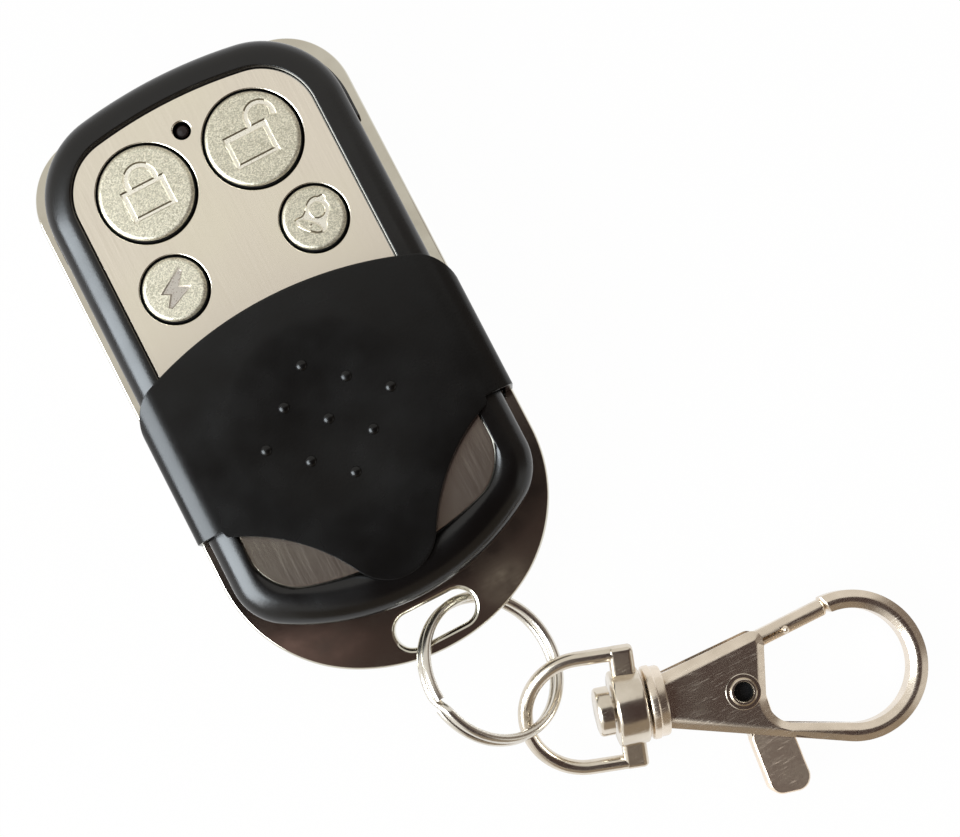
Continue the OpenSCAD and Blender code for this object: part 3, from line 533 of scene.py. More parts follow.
def rim_rings():
    """Rows of the tab's rounded edge and of the rim, from the tab's underside to its top."""
    low, high = np.linspace(0, np.pi / 2, 7), np.linspace(0, np.pi / 2, 10)
    draw = np.concatenate([RIM_ROUND * (1 - np.sin(low)), RIM_IN * (1 - np.cos(high))])
    levels = np.concatenate([TAB_LOW + RIM_ROUND * (1 - np.cos(low)),
                             RIM_Z - RIM_HIGH + RIM_HIGH * np.sin(high)])
    loops = [case_outline(d, LOOP_END - d, TAB_SWELL, TAB_CORNER) for d in draw]
    return loops, list(levels)


back_loops, back_levels = shell_rings()
rim_loops, rim_levels = rim_rings()
hollow = bezel_outline(HOLLOW_IN)
shell = Surface().grid(rings_of(back_loops, back_levels), wrap_columns=True)
shell.cap(rings_of(back_loops[:1], [0.0])[0])
shell.flat([rim_loops[0], back_loops[-1], slot_loop(SLOT_CHAMFER)], at_height(TAB_LOW))
shell.grid(rings_of(rim_loops, rim_levels), wrap_columns=True)
shell.flat([rim_loops[-1], slot_loop(SLOT_LIP), hollow], at_height(RIM_Z))
shell.grid(rings_of([hollow, hollow], [RIM_Z, FLOOR_Z]), wrap_columns=True)
shell.cap(rings_of([hollow], [FLOOR_Z])[0])
lip = np.linspace(0, np.pi / 2, 9)
slot_rows = [slot_loop(SLOT_LIP * (1 - math.sin(a))) for a in lip] + [slot_loop(0), slot_loop(SLOT_CHAMFER)]
slot_z = [RIM_Z - SLOT_LIP * (1 - math.cos(a)) for a in lip] + [SLOT_FOOT, TAB_LOW]
shell.grid(rings_of(slot_rows, slot_z), wrap_columns=True)
show(shell.mesh("rear_shell_chrome", chrome), "fob", "chrome_shell", "rear_shell")

# %% [markdown]
# ## Frame round the face
# The black frame holds the plate and carries the cover. It is a stack of outlines too, because its section
# is the same all the way round. Its outer edge rounds over like a quarter of an ellipse to a crest and
# falls inside to the plate. Low on the sides run the grooves that hold the cover, and the base flange
# stands out above them.

# %% Frame round the face
BIG_R, SMALL_R = 4.6, 3.1
BUTTONS = {"lock": (-5.57, 19.87, BIG_R), "unlock": (5.57, 19.87, BIG_R),
           "bolt": (-7.27, 10.56, SMALL_R), "bell": (7.27, 10.56, SMALL_R)}
LED = (0.0, 23.68, 0.85)
GAP = 0.18
OPENINGS = [*BUTTONS.values(), (*LED[:2], LED[2] - GAP)]
GROOVE_LOW, GROOVE_HIGH, GROOVE_TOP, GROOVE_IN = -11.7, 18.1, 8.75, 1.0
FLANGE_OUT, FLANGE_HEAD, FLANGE_SLOPE = 0.35, 0.1, 0.2
SHOULDER_Z, CREST_IN, FALL_Z, CEILING_Z = 10.9, 2.7, 12.38, 11.0


def bezel_base(lift):
    """Outline at the foot: set out as a flange above the grooves, set in along them."""
    plain, groove = bezel_outline(0), bezel_outline(GROOVE_IN)
    flange = outline(BEZEL_HW + FLANGE_OUT - lift, BEZEL_HEAD + FLANGE_HEAD, BEZEL_HW + HEAD_SWELL,
                     BEZEL_CORNER, BEZEL_TAIL, BEZEL_HW + BEZEL_TAIL_SWELL, BEZEL_TAIL_CORNER)
    y = plain[:, 1:]
    return np.where(y > GROOVE_HIGH, flange, np.where(y > GROOVE_LOW, groove, plain))


def bezel_rings():
    """Rows from the foot up: flange, wall, quarter ellipse to the crest, and another down to the plate."""
    over, fall = np.linspace(0, np.pi / 2, 16)[1:], np.linspace(0, np.pi / 2, 12)[1:]
    loops = [bezel_base(0), bezel_base(0), bezel_base(FLANGE_SLOPE), bezel_outline(0), bezel_outline(0)]
    levels = [RIM_Z, GROOVE_TOP - FLANGE_SLOPE, GROOVE_TOP, GROOVE_TOP + 0.02, SHOULDER_Z]
    loops += [bezel_outline(CREST_IN * (1 - math.cos(a))) for a in over]
    levels += [SHOULDER_Z + (CREST_Z - SHOULDER_Z) * math.sin(a) for a in over]
    crest, inside = loops[-1], plate_outline(-0.02)
    loops += [crest + (inside - crest) * math.sin(a) for a in fall] + [inside]
    levels += [FALL_Z + (CREST_Z - FALL_Z) * math.cos(a) for a in fall] + [PLATE_LOW]
    return loops, levels


bezel_loops, bezel_levels = bezel_rings()
wells = [circle(x, y, r + GAP) for x, y, r in OPENINGS]
bezel = Surface().grid(rings_of(bezel_loops, bezel_levels), wrap_columns=True)
bezel.flat([bezel_loops[-1], *wells], at_height(PLATE_LOW)).flat([hollow, *wells], at_height(CEILING_Z))
for well in wells:
    bezel.grid(rings_of([well, well], [PLATE_LOW, CEILING_Z]), wrap_columns=True)
bezel.grid(rings_of([hollow, hollow], [CEILING_Z, RIM_Z]), wrap_columns=True)
bezel.flat([bezel_base(0), hollow], at_height(RIM_Z))
show(bezel.mesh("front_bezel_black", bezel_black, 30.0), "fob", "black_plastic", "front_bezel")

# %% [markdown]
# ## Face plate
# The plate is cut from sheet, and its edges are rolled a little by the punch. The roll is a quarter of an
# ellipse round the outline and round each opening. It fades out at the tail, where the photograph shows no
# bright line along the edge. The walls of the openings are painted black as shade, because no light reaches
# down there.

# %% Face plate
EDGE_IN, EDGE_DROP = 0.13, 0.12
FADE_LOW, FADE_LONG, FADE_LEAST = -14.0, 5.0, 0.05

quarter = np.linspace(0, np.pi / 2, 4)
plate_edge = plate_outline(0)
drop = EDGE_DROP * np.clip((plate_edge[:, 1] - FADE_LOW) / FADE_LONG, FADE_LEAST, 1)
plate_rows = [plate_edge] + [plate_outline(EDGE_IN * (1 - math.cos(a))) for a in quarter]
plate_z = [PLATE_LOW] + [FACE_Z - drop * (1 - math.sin(a)) for a in quarter]
plate = Surface().grid(rings_of(plate_rows, plate_z), wrap_columns=True)
plate.flat([plate_edge, *wells], at_height(PLATE_LOW))
plate.flat([plate_rows[-1], *[circle(x, y, r + GAP + EDGE_IN) for x, y, r in OPENINGS]], at_height(FACE_Z))
for (x, y, r), well in zip(OPENINGS, wells):
    rolls = [circle(x, y, r + GAP + EDGE_IN * (1 - math.sin(a))) for a in quarter]
    roll_z = [FACE_Z - EDGE_IN * (1 - math.cos(a)) for a in quarter]
    plate.grid(rings_of(rolls, roll_z), wrap_columns=True).painted(0)
    # Painted shade: the walls of the openings get the black.
    plate.grid(rings_of([well, well], [FACE_Z - EDGE_IN, PLATE_LOW]), wrap_columns=True).painted(1)
show(plate.mesh("face_plate_brushed", (plate_finish, painted_shade_black)), "fob", "brushed_plate", "face_plate")

# %% [markdown]
# ## Signs on the buttons
# Each button has a sign pressed into it: two padlocks, a lightning bolt and a bell. A bump in the material
# would show no shadow, so the sign is a real groove with sloped sides and a flat floor. It is drawn from
# loops, by the rule that a point inside an odd number of loops is in the groove.


# %% Signs on the buttons
def set_off(path, d):
    """Closed path moved sideways by d, mitred at its corners."""
    before, after = path - np.roll(path, 1, 0), np.roll(path, -1, 0) - path
    n1 = np.column_stack([before[:, 1], -before[:, 0]]) / np.linalg.norm(before, axis=1)[:, None]
    n2 = np.column_stack([after[:, 1], -after[:, 0]]) / np.linalg.norm(after, axis=1)[:, None]
    mitre = n1 + n2
    scale = 2 / np.maximum((mitre ** 2).sum(1), 0.7)
    return path + d * mitre * scale[:, None]


def box_loop(left, low, right, high):
    """Four corners of a rectangle, anticlockwise."""
    return np.array([(left, low), (right, low), (right, high), (left, high)], float)


def round_off(points):
    """Closed curve through points: a cubic between each two, whose slopes follow their neighbours."""
    p = np.array(points, float)
    before, after, later = np.roll(p, 1, 0), np.roll(p, -1, 0), np.roll(p, -2, 0)
    s = np.arange(5)[:, None, None] / 5
    square = before - 2.5 * p + 2 * after - 0.5 * later
    cube = 1.5 * p - 0.5 * before - 1.5 * after + 0.5 * later
    bent = p + s * (after - before) / 2 + s ** 2 * square + s ** 3 * cube
    return bent.transpose(1, 0, 2).reshape(-1, 2)


def lock_loops():
    """Closed padlock: a box and a half ring, less the box's inside and the space under the shackle."""
    shackle = arc(0.1, 1.35, 1.7, 0, 180)
    outer = np.vstack([(-2.27, -2.17), (2.27, -2.17), (2.27, 1.0), (1.8, 1.0), shackle, (-1.6, 1.0),
                       (-2.27, 1.0)])
    under = np.vstack([(-0.98, 1.0), (1.18, 1.0), arc(0.1, 1.35, 1.08, 0, 180)])
    return [outer], [box_loop(-1.68, -1.7, 1.68, 0.42), under]


def unlock_loops():
    """Open padlock: the shackle stands to one side and its far end is cut off short of the box."""
    inside, outside = arc(1.55, 1.6, 1.03, 180, 8), arc(1.55, 1.6, 1.63, 4, 180)
    outer = np.vstack([(-2.6, -2.15), (1.9, -2.15), (1.9, 1.2), (0.52, 1.2), inside, (2.42, 1.25),
                       (3.12, 0.98), outside, (-0.08, 1.2), (-2.6, 1.2)])
    return [outer], [box_loop(-2.1, -1.65, 1.35, 0.5)]


def bolt_loops():
    """Lightning bolt: one loop of eight corners."""
    corners = [(1.18, 1.72), (-1.39, 0.08), (-0.59, -0.33), (-1.30, -1.34), (-0.98, -1.60), (1.65, -0.40),
               (0.53, 0.09), (1.41, 1.20)]
    return [np.array(corners)], []


def bell_loops():
    """Bell on its side: a rounded outline and a clapper, less a round boss and the oval of the mouth."""
    bell = round_off([(-1.85, 0.45), (-1.7, -0.15), (-1.2, -0.85), (-0.6, -1.4), (0.0, -1.65), (0.5, -1.6),
                      (0.78, -1.3), (0.95, -0.85), (1.3, -0.5), (1.7, 0.0), (1.82, 0.5), (1.72, 0.95),
                      (1.84, 1.3), (1.66, 1.66), (1.25, 1.66), (0.85, 1.8), (0.35, 1.74), (-0.1, 1.45),
                      (-0.5, 1.0), (-0.95, 0.64), (-1.5, 0.66)])
    along, across = np.array((0.667, -0.745)), np.array((0.745, 0.667))
    a = np.radians(np.arange(40) * 9)[:, None]
    mouth = np.array((-0.66, -0.56)) + 1.12 * np.cos(a) * along + 0.36 * np.sin(a) * across
    return [bell, circle(-0.58, -0.62, 0.2, 16)], [circle(0.58, 0.52, 0.7, 40), mouth]


SIGNS = {"lock": lock_loops, "unlock": unlock_loops, "bolt": bolt_loops, "bell": bell_loops}
print("signs", list(SIGNS))

# %% [markdown]
# ## Buttons
# A button is a turned disc with a rounded rim, and its sign is cut into its top. The foot is painted black
# as shade where it goes down into the frame. In the photograph the sides of a groove that face the loop
# end are fine dark lines, because they mirror a dark room. The card at the loop end is not dark enough for
# that, so that dark reflection is painted on those sides as a darker coat.

# %% Buttons
BUTTON_TOP, BUTTON_LOW, BUTTON_RIM, RIM_WIDE = 12.9, 9.9, 0.28, 0.36
NECK_IN, NECK_DROP = 0.09, 0.4
GROOVE_DEEP, GROOVE_SIDE, BELL_SIDE, FACING = 0.16, 0.13, 0.11, -0.7
# Of these coats, the foot's is black painted shade, and the last is a painted dark reflection on the groove
# sides that face the loop end.
TOP_COAT, FOOT_SHADE_COAT, SIGN_COAT, PAINTED_REFLECTION_COAT = range(4)


def button_foot(r):
    """Profile from the middle of the underside to the foot of the rim."""
    rim_foot = (r - NECK_IN, BUTTON_TOP - BUTTON_RIM)
    return [(0.02, BUTTON_LOW), (r, BUTTON_LOW), (r, BUTTON_TOP - NECK_DROP), rim_foot]


def button_rim(r):
    """Quarter ellipse from the foot of the rim to the flat top."""
    u = np.linspace(0, np.pi / 2, 9)
    radius = r - NECK_IN - RIM_WIDE * (1 - np.cos(u))
    return np.column_stack([radius, BUTTON_TOP - BUTTON_RIM + BUTTON_RIM * np.sin(u)])


def cut_sign(disc, outers, inners, side):
    """Sloped sides from each loop down to the floor; those that face the loop end get a painted dark
    reflection.
    """
    floors = [set_off(loop, -side) for loop in outers] + [set_off(loop, side) for loop in inners]
    for loop, floor_loop in zip(outers + inners, floors):
        lean = (floor_loop - loop) + np.roll(floor_loop - loop, -1, 0)
        # Sides that face the loop end get the painted dark reflection of the room.
        painted_reflection_side = lean[:, 1] < FACING * np.linalg.norm(lean, axis=1)
        disc.grid(rings_of([loop, floor_loop], [BUTTON_TOP, BUTTON_TOP - GROOVE_DEEP]), wrap_columns=True)
        disc.painted(np.where(painted_reflection_side, PAINTED_REFLECTION_COAT, SIGN_COAT))
    disc.flat(floors, at_height(BUTTON_TOP - GROOVE_DEEP)).painted(SIGN_COAT)


for name, (x, y, r) in BUTTONS.items():
    middle = np.array((x, y, 0.0))
    outers, inners = [[loop + middle[:2] for loop in loops] for loops in SIGNS[name]()]
    disc = Surface()
    foot = turned(button_foot(r)) + middle
    # Painted shade: the foot gets the black that stands for the shade in the gap round the button.
    disc.grid(foot, wrap_columns=True).cap(foot[0]).painted(FOOT_SHADE_COAT)
    disc.grid(turned(button_rim(r)) + middle, wrap_columns=True)
    top_edge = circle(x, y, r - NECK_IN - RIM_WIDE, 96)
    disc.flat([top_edge, *outers, *inners], at_height(BUTTON_TOP)).painted(TOP_COAT)
    cut_sign(disc, outers, inners, BELL_SIDE if name == "bell" else GROOVE_SIDE)
    coats = (button_silver, painted_shade_black, bolt_silver if name == "bolt" else sign_silver, sign_painted_reflection)
    show(disc.mesh(name + "_button_silver", coats, 28.0), name, "silver_paint", name + "_button")

# %% [markdown]
# ## Signal lens
# Under the small hole at the head sits the lens of the signal light. It is off, so it is a dark dome. A
# turned profile is enough, because only its top shows.

# %% Signal lens
LENS_PROFILE = [(0.02, 11.5), (0.6, 11.5), (0.6, 12.1), (0.45, 12.25), (0.02, 12.3)]
lens_dark = black_plastic("lens_dark", (0.014, 0.007, 0.006), 0.4, 2.0, 0.3)
led = Surface().tube(turned(LENS_PROFILE, 32) + np.array((*LED[:2], 0)))
show(led.mesh("indicator_lens", lens_dark), "fob", "led_lens", "indicator_led")

# %% [markdown]
# ## Sliding cover
# The cover is a thin moulding that rides on the frame and hides the buttons. Its skin is one grid. Across
# the fob it runs up a side wall, round a shoulder, over the top and down the other side. Along the fob it
# runs from the scalloped tongue to the bowed upper edge. The thumb dish is a smooth hollow in it. Cutting
# the scallops out of a block would leave long thin faces along them, and a grid that ends there does not.
# The left side is drawn a little further in than the right, as the photograph shows it.

# %% Edges of the cover
COVER_HW, COVER_TOP, SHOULDER, SHOULDER_IN = 16.5, 14.2, 1.8, 2.8
WALL_END, WALL_Z, HOOK_Z, HOOK_HIGH = -11.65, 8.95, 7.55, -3.0
TONGUE_Y, TONGUE_R, SCALLOP_R = -18.3, 4.6, 18.2
CORNER = np.array((13.7, -12.25))
BOW_Y, BOW_R, BOW_CORNER = 5.7, 37.5, 2.6


def scallop_middle():
    """Middle of the scallop circle: it passes the corner and touches the tongue's circle from outside."""
    tongue = np.array((0.0, TONGUE_Y))
    d = np.linalg.norm(tongue - CORNER)
    e = (SCALLOP_R ** 2 - (SCALLOP_R + TONGUE_R) ** 2 + d * d) / (2 * d)
    n = (tongue - CORNER) / d
    return CORNER + e * n + math.sqrt(SCALLOP_R ** 2 - e * e) * np.array((-n[1], n[0]))


def cover_low(x):
    """Lower edge over x: tongue circle, scallop circle, then the straight wall end."""
    c = scallop_middle()
    meet = TONGUE_R * c[0] / math.hypot(c[0], c[1] - TONGUE_Y)
    x = np.abs(x)
    tongue = TONGUE_Y - np.sqrt(np.maximum(TONGUE_R ** 2 - x ** 2, 0))
    scallop = c[1] + np.sqrt(np.maximum(SCALLOP_R ** 2 - (x - c[0]) ** 2, 0))
    return np.where(x < meet, tongue, np.where(x < CORNER[0], scallop, WALL_END))


def cover_high(x):
    """Upper edge over x: one wide bow, rounded off by a quarter circle at each shoulder."""
    past = np.minimum(np.maximum(np.abs(x) - COVER_HW + BOW_CORNER, 0), BOW_CORNER - 0.01)
    bow = BOW_Y - BOW_R + np.sqrt(BOW_R ** 2 - x ** 2)
    return bow - BOW_CORNER + np.sqrt(BOW_CORNER ** 2 - past ** 2)


print("scallop middle", scallop_middle().round(2))

# %% Skin of the cover
GRIP_Y, DISH_R, DISH_DEPTH, DISH_EDGE = -6.87, 9.5, 0.3, 0.4
LEFT_IN = 0.973
COVER_THICK, COVER_EDGE = 0.75, 0.22


def dish_depth(r2):
    """Depth of the thumb dish where r2 is the squared distance from its middle, in radii."""
    return DISH_DEPTH * np.maximum(1 - r2, 0) ** 1.6


def cover_grid():
    """Columns across (wall, shoulder, top, shoulder, wall), rows along, and the dish taken off the height."""
    flat_hw = COVER_HW - SHOULDER_IN
    a = np.linspace(0, np.pi / 2, 13)
    top = np.linspace(-flat_hw, flat_hw, 181)[1:-1]
    wall = np.linspace(0, 1, 7)[:-1]
    upright, bend = np.full(len(wall), COVER_HW), flat_hw + SHOULDER_IN * np.cos(a)
    x = np.concatenate([-upright, -bend, top, bend[::-1], upright])
    bend_z = COVER_TOP - SHOULDER + SHOULDER * np.sin(a)
    wall_top = np.full(len(wall), bend_z[0])
    over_z = np.concatenate([wall_top, bend_z, np.full(len(top), COVER_TOP), bend_z[::-1], wall_top])
    v = np.linspace(0, 1, 111)[:, None]
    y = cover_low(x) * (1 - v) + cover_high(x) * v
    foot = np.where(y < HOOK_HIGH, HOOK_Z, WALL_Z)
    up = np.concatenate([wall, np.ones(len(x) - 2 * len(wall)), wall[::-1]])
    z = foot * (1 - up) + over_z * up
    r2 = (x ** 2 + (y - GRIP_Y) ** 2) / DISH_R ** 2
    x = np.where(x < 0, x * LEFT_IN, x)
    z = z - np.where(np.abs(x) < flat_hw - DISH_EDGE, dish_depth(r2), 0)
    return np.stack([np.broadcast_to(x, y.shape), y, z], 2)


skin = Surface().grid(cover_grid()).mesh("slide_cover_skin", cover_black, 50.0, turn_out=False)
thick = skin.modifiers.new("thickness", "SOLIDIFY")
thick.thickness, thick.offset = COVER_THICK * MM, -1.0
soft_edge = skin.modifiers.new("edges", "BEVEL")
soft_edge.width, soft_edge.segments, soft_edge.limit_method = COVER_EDGE * MM, 3, "ANGLE"
soft_edge.angle_limit = math.radians(50)
show(skin, "cover", "black_plastic", "slide_cover")

# %% [markdown]
# ## Grip bumps
# Nine small domes stand in the dish, so that the thumb does not slip. They lie on a square that is turned
# to stand on its corner. Each is a turned quarter of an ellipse with a short foot in the skin.

# %% Grip bumps
BUMP_R, BUMP_HIGH, BUMP_FOOT = 0.52, 0.26, (0.55, -0.2)
BUMP_ACROSS, BUMP_ALONG = 3.2, 2.75

u = np.linspace(0.02, np.pi / 2, 9)
dome = np.vstack([np.column_stack([BUMP_R * np.sin(u), BUMP_HIGH * np.cos(u)]), BUMP_FOOT])
grip = Surface()
for i in (-1, 0, 1):
    for j in (-1, 0, 1):
        x, y = BUMP_ACROSS * (i - j), BUMP_ALONG * (i + j)
        depth = dish_depth((x * x + y * y) / DISH_R ** 2)
        grip.tube(turned(dome, 28) + np.array((x, GRIP_Y + y, COVER_TOP - depth)))
show(grip.mesh("cover_grip_bumps", cover_black, 60.0), "cover", "black_plastic")

# %% [markdown]
# ## Cover hooks
# Low on each side the cover has a bar that runs in the frame's groove and holds the cover down. It is a box
# with rounded edges, drawn as a stack of rounded rectangles, so that it needs no modifier.


# %% Cover hooks
def rounded_box(low, high, r):
    """Box with its upright and level edges rounded, as stacked rounded rectangles."""
    low, high = np.array(low), np.array(high)
    mid, half = (low[:2] + high[:2]) / 2, (high[:2] - low[:2]) / 2 - r
    t = np.radians(np.arange(0, 91, 15))
    corner = np.column_stack([np.cos(t), np.sin(t)])
    signs = np.array([(1, 1), (-1, 1), (-1, -1), (1, -1)])
    corners = [(s, corner if s[0] * s[1] > 0 else corner[::-1]) for s in signs]
    insets = r * (1 - np.sin(np.concatenate([t, t[::-1]])))
    loops = [mid + np.vstack([s * half + (r - d) * bend * s for s, bend in corners]) for d in insets]
    lift = r * (1 - np.cos(t))
    return rings_of(loops, list(low[2] + lift) + list(high[2] - lift[::-1]))


HOOK_IN_X, HOOK_OUT_X, HOOK_ROUND = 14.55, 15.6, 0.12
HOOK_Y, HOOK_LEVEL = (-11.5, -3.05), (7.56, 8.36)
hooks = Surface()
for side in (-1, 1):
    left, right = sorted((side * HOOK_IN_X, side * HOOK_OUT_X))
    hooks.tube(rounded_box((left, HOOK_Y[0], HOOK_LEVEL[0]), (right, HOOK_Y[1], HOOK_LEVEL[1]), HOOK_ROUND))
show(hooks.mesh("cover_hooks", cover_black), "cover", "black_plastic")

# %% [markdown]
# ## Split ring
# The ring is steel wire, and its two turns lie side by side. A torus would have no step and no ends. The
# path is a circle that steps from the lower turn to the upper one over 18 degrees, and the section is a
# slightly flattened circle.

# %% Split ring
RING_R, WIRE_WIDE, WIRE_HIGH, TURN_APART = 7.15, 0.45, 0.43, 0.46
RING_START, RING_LONG, STEP_AT, STEP_LONG = 193, 714, 348, 18
RING_AT = np.array((2.55, -34.0967, 5.47))
RING_TURN = spin("x", -7) @ spin("y", 36.5)


def ring_wire():
    """Rings of the section along the two turns, in the ring's own plane; the step is a smooth cubic."""
    a = np.linspace(0, RING_LONG, 358)
    u = np.clip((a - STEP_AT) / STEP_LONG, 0, 1)
    z = TURN_APART * (2 * u * u * (3 - 2 * u) - 1)
    way = np.radians(RING_START + a)[:, None]
    s = np.arange(20) * 2 * np.pi / 20
    r = RING_R + WIRE_WIDE * np.cos(s)
    return np.stack([r * np.cos(way), r * np.sin(way), z[:, None] + WIRE_HIGH * np.sin(s)], 2)


ring = Surface().tube(ring_wire() @ RING_TURN.T + RING_AT)
show(ring.mesh("key_ring_wire", steel), "ring", "nickel", "key_ring")

# %% [markdown]
# ## Swivel: eye, barrel and pin
# The eye is a round wire bent into a D, with a flat bar that carries the barrel. A headed pin goes through
# the barrel and lets the clasp turn. The chain is drawn in the clasp's own frame, whose X axis is the
# swivel pin, and then turned and moved into place. That keeps the formulas short.

# %% Eye and barrel
CLASP_AT = np.array((12.3756, -43.4241, 4.07556))
CLASP_TURN = spin("z", -16.5) @ spin("y", 4.3)
EYE_ROLL, EYE_DROOP = 20, 6
EYE_BEND, EYE_HALF, EYE_WIRE, EYE_ARM = -4.25, 5.6, 0.72, -2.0
BAR_LOW, BAR_HIGH, BAR_ROUND = (-1.2, -6.27, -0.72), (1.2, 6.27, 0.72), 0.5
BARREL = [(1.27, -1.45), (3.35, -1.45), (3.52, -1.4), (3.62, -1.28), (3.65, -1.1), (3.65, 1.1), (3.62, 1.28),
          (3.52, 1.4), (3.35, 1.45), (1.27, 1.45)]


def place(points, roll=0.0, droop=0.0):
    """Points of the clasp's frame, rolled about the pin and drooped, in the fob's frame."""
    return np.asarray(points) @ (CLASP_TURN @ spin("x", roll) @ spin("y", -droop)).T + CLASP_AT


def turned_x(profile, n=72):
    """Rows of a profile of radius and distance turned round X."""
    return turned(profile, n)[:, :, [2, 0, 1]]


def eye_wire():
    """Half circle with two straight arms, swept with a round section."""
    a = np.linspace(np.pi / 2, 3 * np.pi / 2, 49)
    x = np.concatenate([[0, EYE_ARM], EYE_BEND + EYE_HALF * np.cos(a), [EYE_ARM, 0]])
    y = np.concatenate([[EYE_HALF, EYE_HALF], EYE_HALF * np.sin(a), [-EYE_HALF, -EYE_HALF]])
    nx = np.concatenate([[0, 0], np.cos(a), [0, 0]])[:, None]
    ny = np.concatenate([[1, 1], np.sin(a), [-1, -1]])[:, None]
    s = np.arange(24) * 2 * np.pi / 24
    out, up = EYE_WIRE * np.cos(s), EYE_WIRE * np.sin(s)
    return np.stack([x[:, None] + nx * out, y[:, None] + ny * out, up + 0 * x[:, None]], 2)


eye = Surface().tube(place(eye_wire(), EYE_ROLL, EYE_DROOP))
eye.tube(place(rounded_box(BAR_LOW, BAR_HIGH, BAR_ROUND), EYE_ROLL, EYE_DROOP))
eye.grid(place(turned_x(BARREL), EYE_ROLL), wrap_rows=True, wrap_columns=True)
show(eye.mesh("clasp_eye_cast", nickel), "eye", "nickel", "clasp_eye")

# %% Swivel pin
PIN = [(0.02, -3.16), (1.9, -3.16), (2.2, -3.08), (2.33, -2.9), (2.35, -2.7), (2.35, -1.72), (1.2, -1.72),
       (1.2, 1.6), (0.02, 1.6)]
pin = Surface().tube(place(turned_x(PIN)))
show(pin.mesh("swivel_pin_turned", nickel), "clasp", "nickel", "swivel_pin")

# %% [markdown]
# ## Clasp body and hook
# The clasp is cast in zinc: two cheeks with a gap for the lever, and a hook that grows out of them. The
# body's outline is the outer hull of the neck and the hook circle, less the opening. A hull of circles has
# a simple formula: in each direction, the point of the circle that reaches farthest. The edges have wide
# soft bevels, as a casting has, and the hook is a sweep with the same bevels, so that the two run together.

# %% Hulls and slabs
CAST_SKEW = -1.2
BEVEL_IN, BEVEL_DOWN = (1, 0.85, 0.7, 0.35, 0), (0, 0.05, 0.2, 0.6, 1)


def hull(circles, start, stop, n):
    """Outline of the hull of circles over a range of directions: the farthest point in each of them."""
    a = np.radians(np.linspace(start, stop, n))
    way = np.column_stack([np.cos(a), np.sin(a)])
    reach = np.stack([way @ np.array(c[:2]) + c[2] for c in circles])
    best = np.array(circles)[reach.argmax(0)]
    return best[:, :2] + best[:, 2:] * way


def thin(loop, least=0.02):
    """Loop without points closer than the least step to the one before."""
    far = np.linalg.norm(loop - np.roll(loop, 1, 0), axis=1) > least
    return loop[far]


def cast_place(points):
    """Place of the cast body: it sits a little askew on the pin."""
    return place(points @ spin("z", CAST_SKEW).T)


def bevel_rows(bevel, z, way):
    """Insets and heights of a soft bevel of some width and depth, from a flat face to the wall."""
    if bevel is None:
        return [(0.0, z)]
    return [(bevel[0] * k, z + way * bevel[1] * f) for k, f in zip(BEVEL_IN, BEVEL_DOWN)]


def slab(surface, loop, low, high, bevel_low=None, bevel_high=None, taper=None, hole=None, ends=None):
    """Plate between two heights, with bevels, a taper and a hole; between its ends the wall is square."""
    rows = bevel_rows(bevel_low, low, 1) + bevel_rows(bevel_high, high, -1)[::-1]
    loops = [set_off(loop, -d) for d, z in rows]
    if ends is not None:
        first, last = ends
        way = (loop[last] - loop[first]) / np.linalg.norm(loop[last] - loop[first])
        for made, (d, z) in zip(loops, rows):
            wide = np.broadcast_to(d, (len(loop), 1))
            made[first], made[last] = loop[first] + way * wide[first], loop[last] - way * wide[last]

    def lift(points):
        """Points thinned by the taper and put in place."""
        if taper is not None:
            points = points * np.column_stack([np.ones((len(points), 2)), taper(points[:, 0])])
        return cast_place(points)

    rings = rings_of(loops, [z for d, z in rows])
    surface.grid(lift(rings.reshape(-1, 3)).reshape(rings.shape), wrap_columns=True)
    inner = [] if hole is None else [hole]
    for edge, z in ((loops[0], low), (loops[-1], high)):
        surface.flat([edge, *inner], lambda flat: lift(at_height(z)(flat)))
    for ring in inner:
        surface.grid(cast_place(rings_of([ring, ring], [low, high])), wrap_columns=True)


print("bevel rows", len(BEVEL_IN))

# %% Clasp body
HOOK = np.array((21.95, 0.2))
HOOK_R, HOOK_IN, HOOK_MID = 7.2, 5.47, 6.335
RIVET, RIVET_HOLE = np.array((10.8, -0.38)), 1.2
NECK = [(2.2, 2.25, 0.0), (2.2, -2.27, 0.0), (*HOOK, HOOK_R)]
OPENING = [(*HOOK, HOOK_IN), (15.6, -1.5, 2.65), (14.2, 3.25, 0.62)]
CHEEK_LOW, CHEEK_HIGH, FILL_HIGH = 1.2, 2.0, 1.25
BEVEL_WIDE, BEVEL_LESS, BEVEL_FROM, BEVEL_RUN, BEVEL_DEEP = 1.15, 0.37, 9.5, 5.0, 0.5
TAPER_FROM, TAPER_RUN, TAPER = 14.5, 5.0, 0.35
NECK_FILL = np.array([(2.7, 2.35), (2.7, -2.35), (6.4, -3.2), (6.4, 3.2)])
ARM_FILL_X, ARM_FILL_LOW, ARM_FILL_HIGH = 15.2, -5.45, -4.2

lower_edge = hull(NECK, 180, 262, 44)
upper_edge = hull(NECK, 105.0, 180, 16)
inner_edge = hull(OPENING, 150, 262, 44)[::-1]
gate_corner = arc(12.6, 4.08, 1.0, -10, 105.4, 12)
body_loop = thin(np.vstack([upper_edge[1:], lower_edge, inner_edge, gate_corner]))
arm_end = lower_edge[-1], inner_edge[0]
body_ends = [int(np.linalg.norm(body_loop - point, axis=1).argmin()) for point in arm_end]
narrowing = np.clip((body_loop[:, :1] - BEVEL_FROM) / BEVEL_RUN, 0, 1)
body_bevel = BEVEL_WIDE - BEVEL_LESS * narrowing, BEVEL_DEEP


def arm_taper(x):
    """The body is 4 mm thick and thins to the hook's 2.6 mm along the arm, by a smooth cubic."""
    u = np.clip((x - TAPER_FROM) / TAPER_RUN, 0, 1)
    return 1 - TAPER * u ** 2 * (3 - 2 * u)


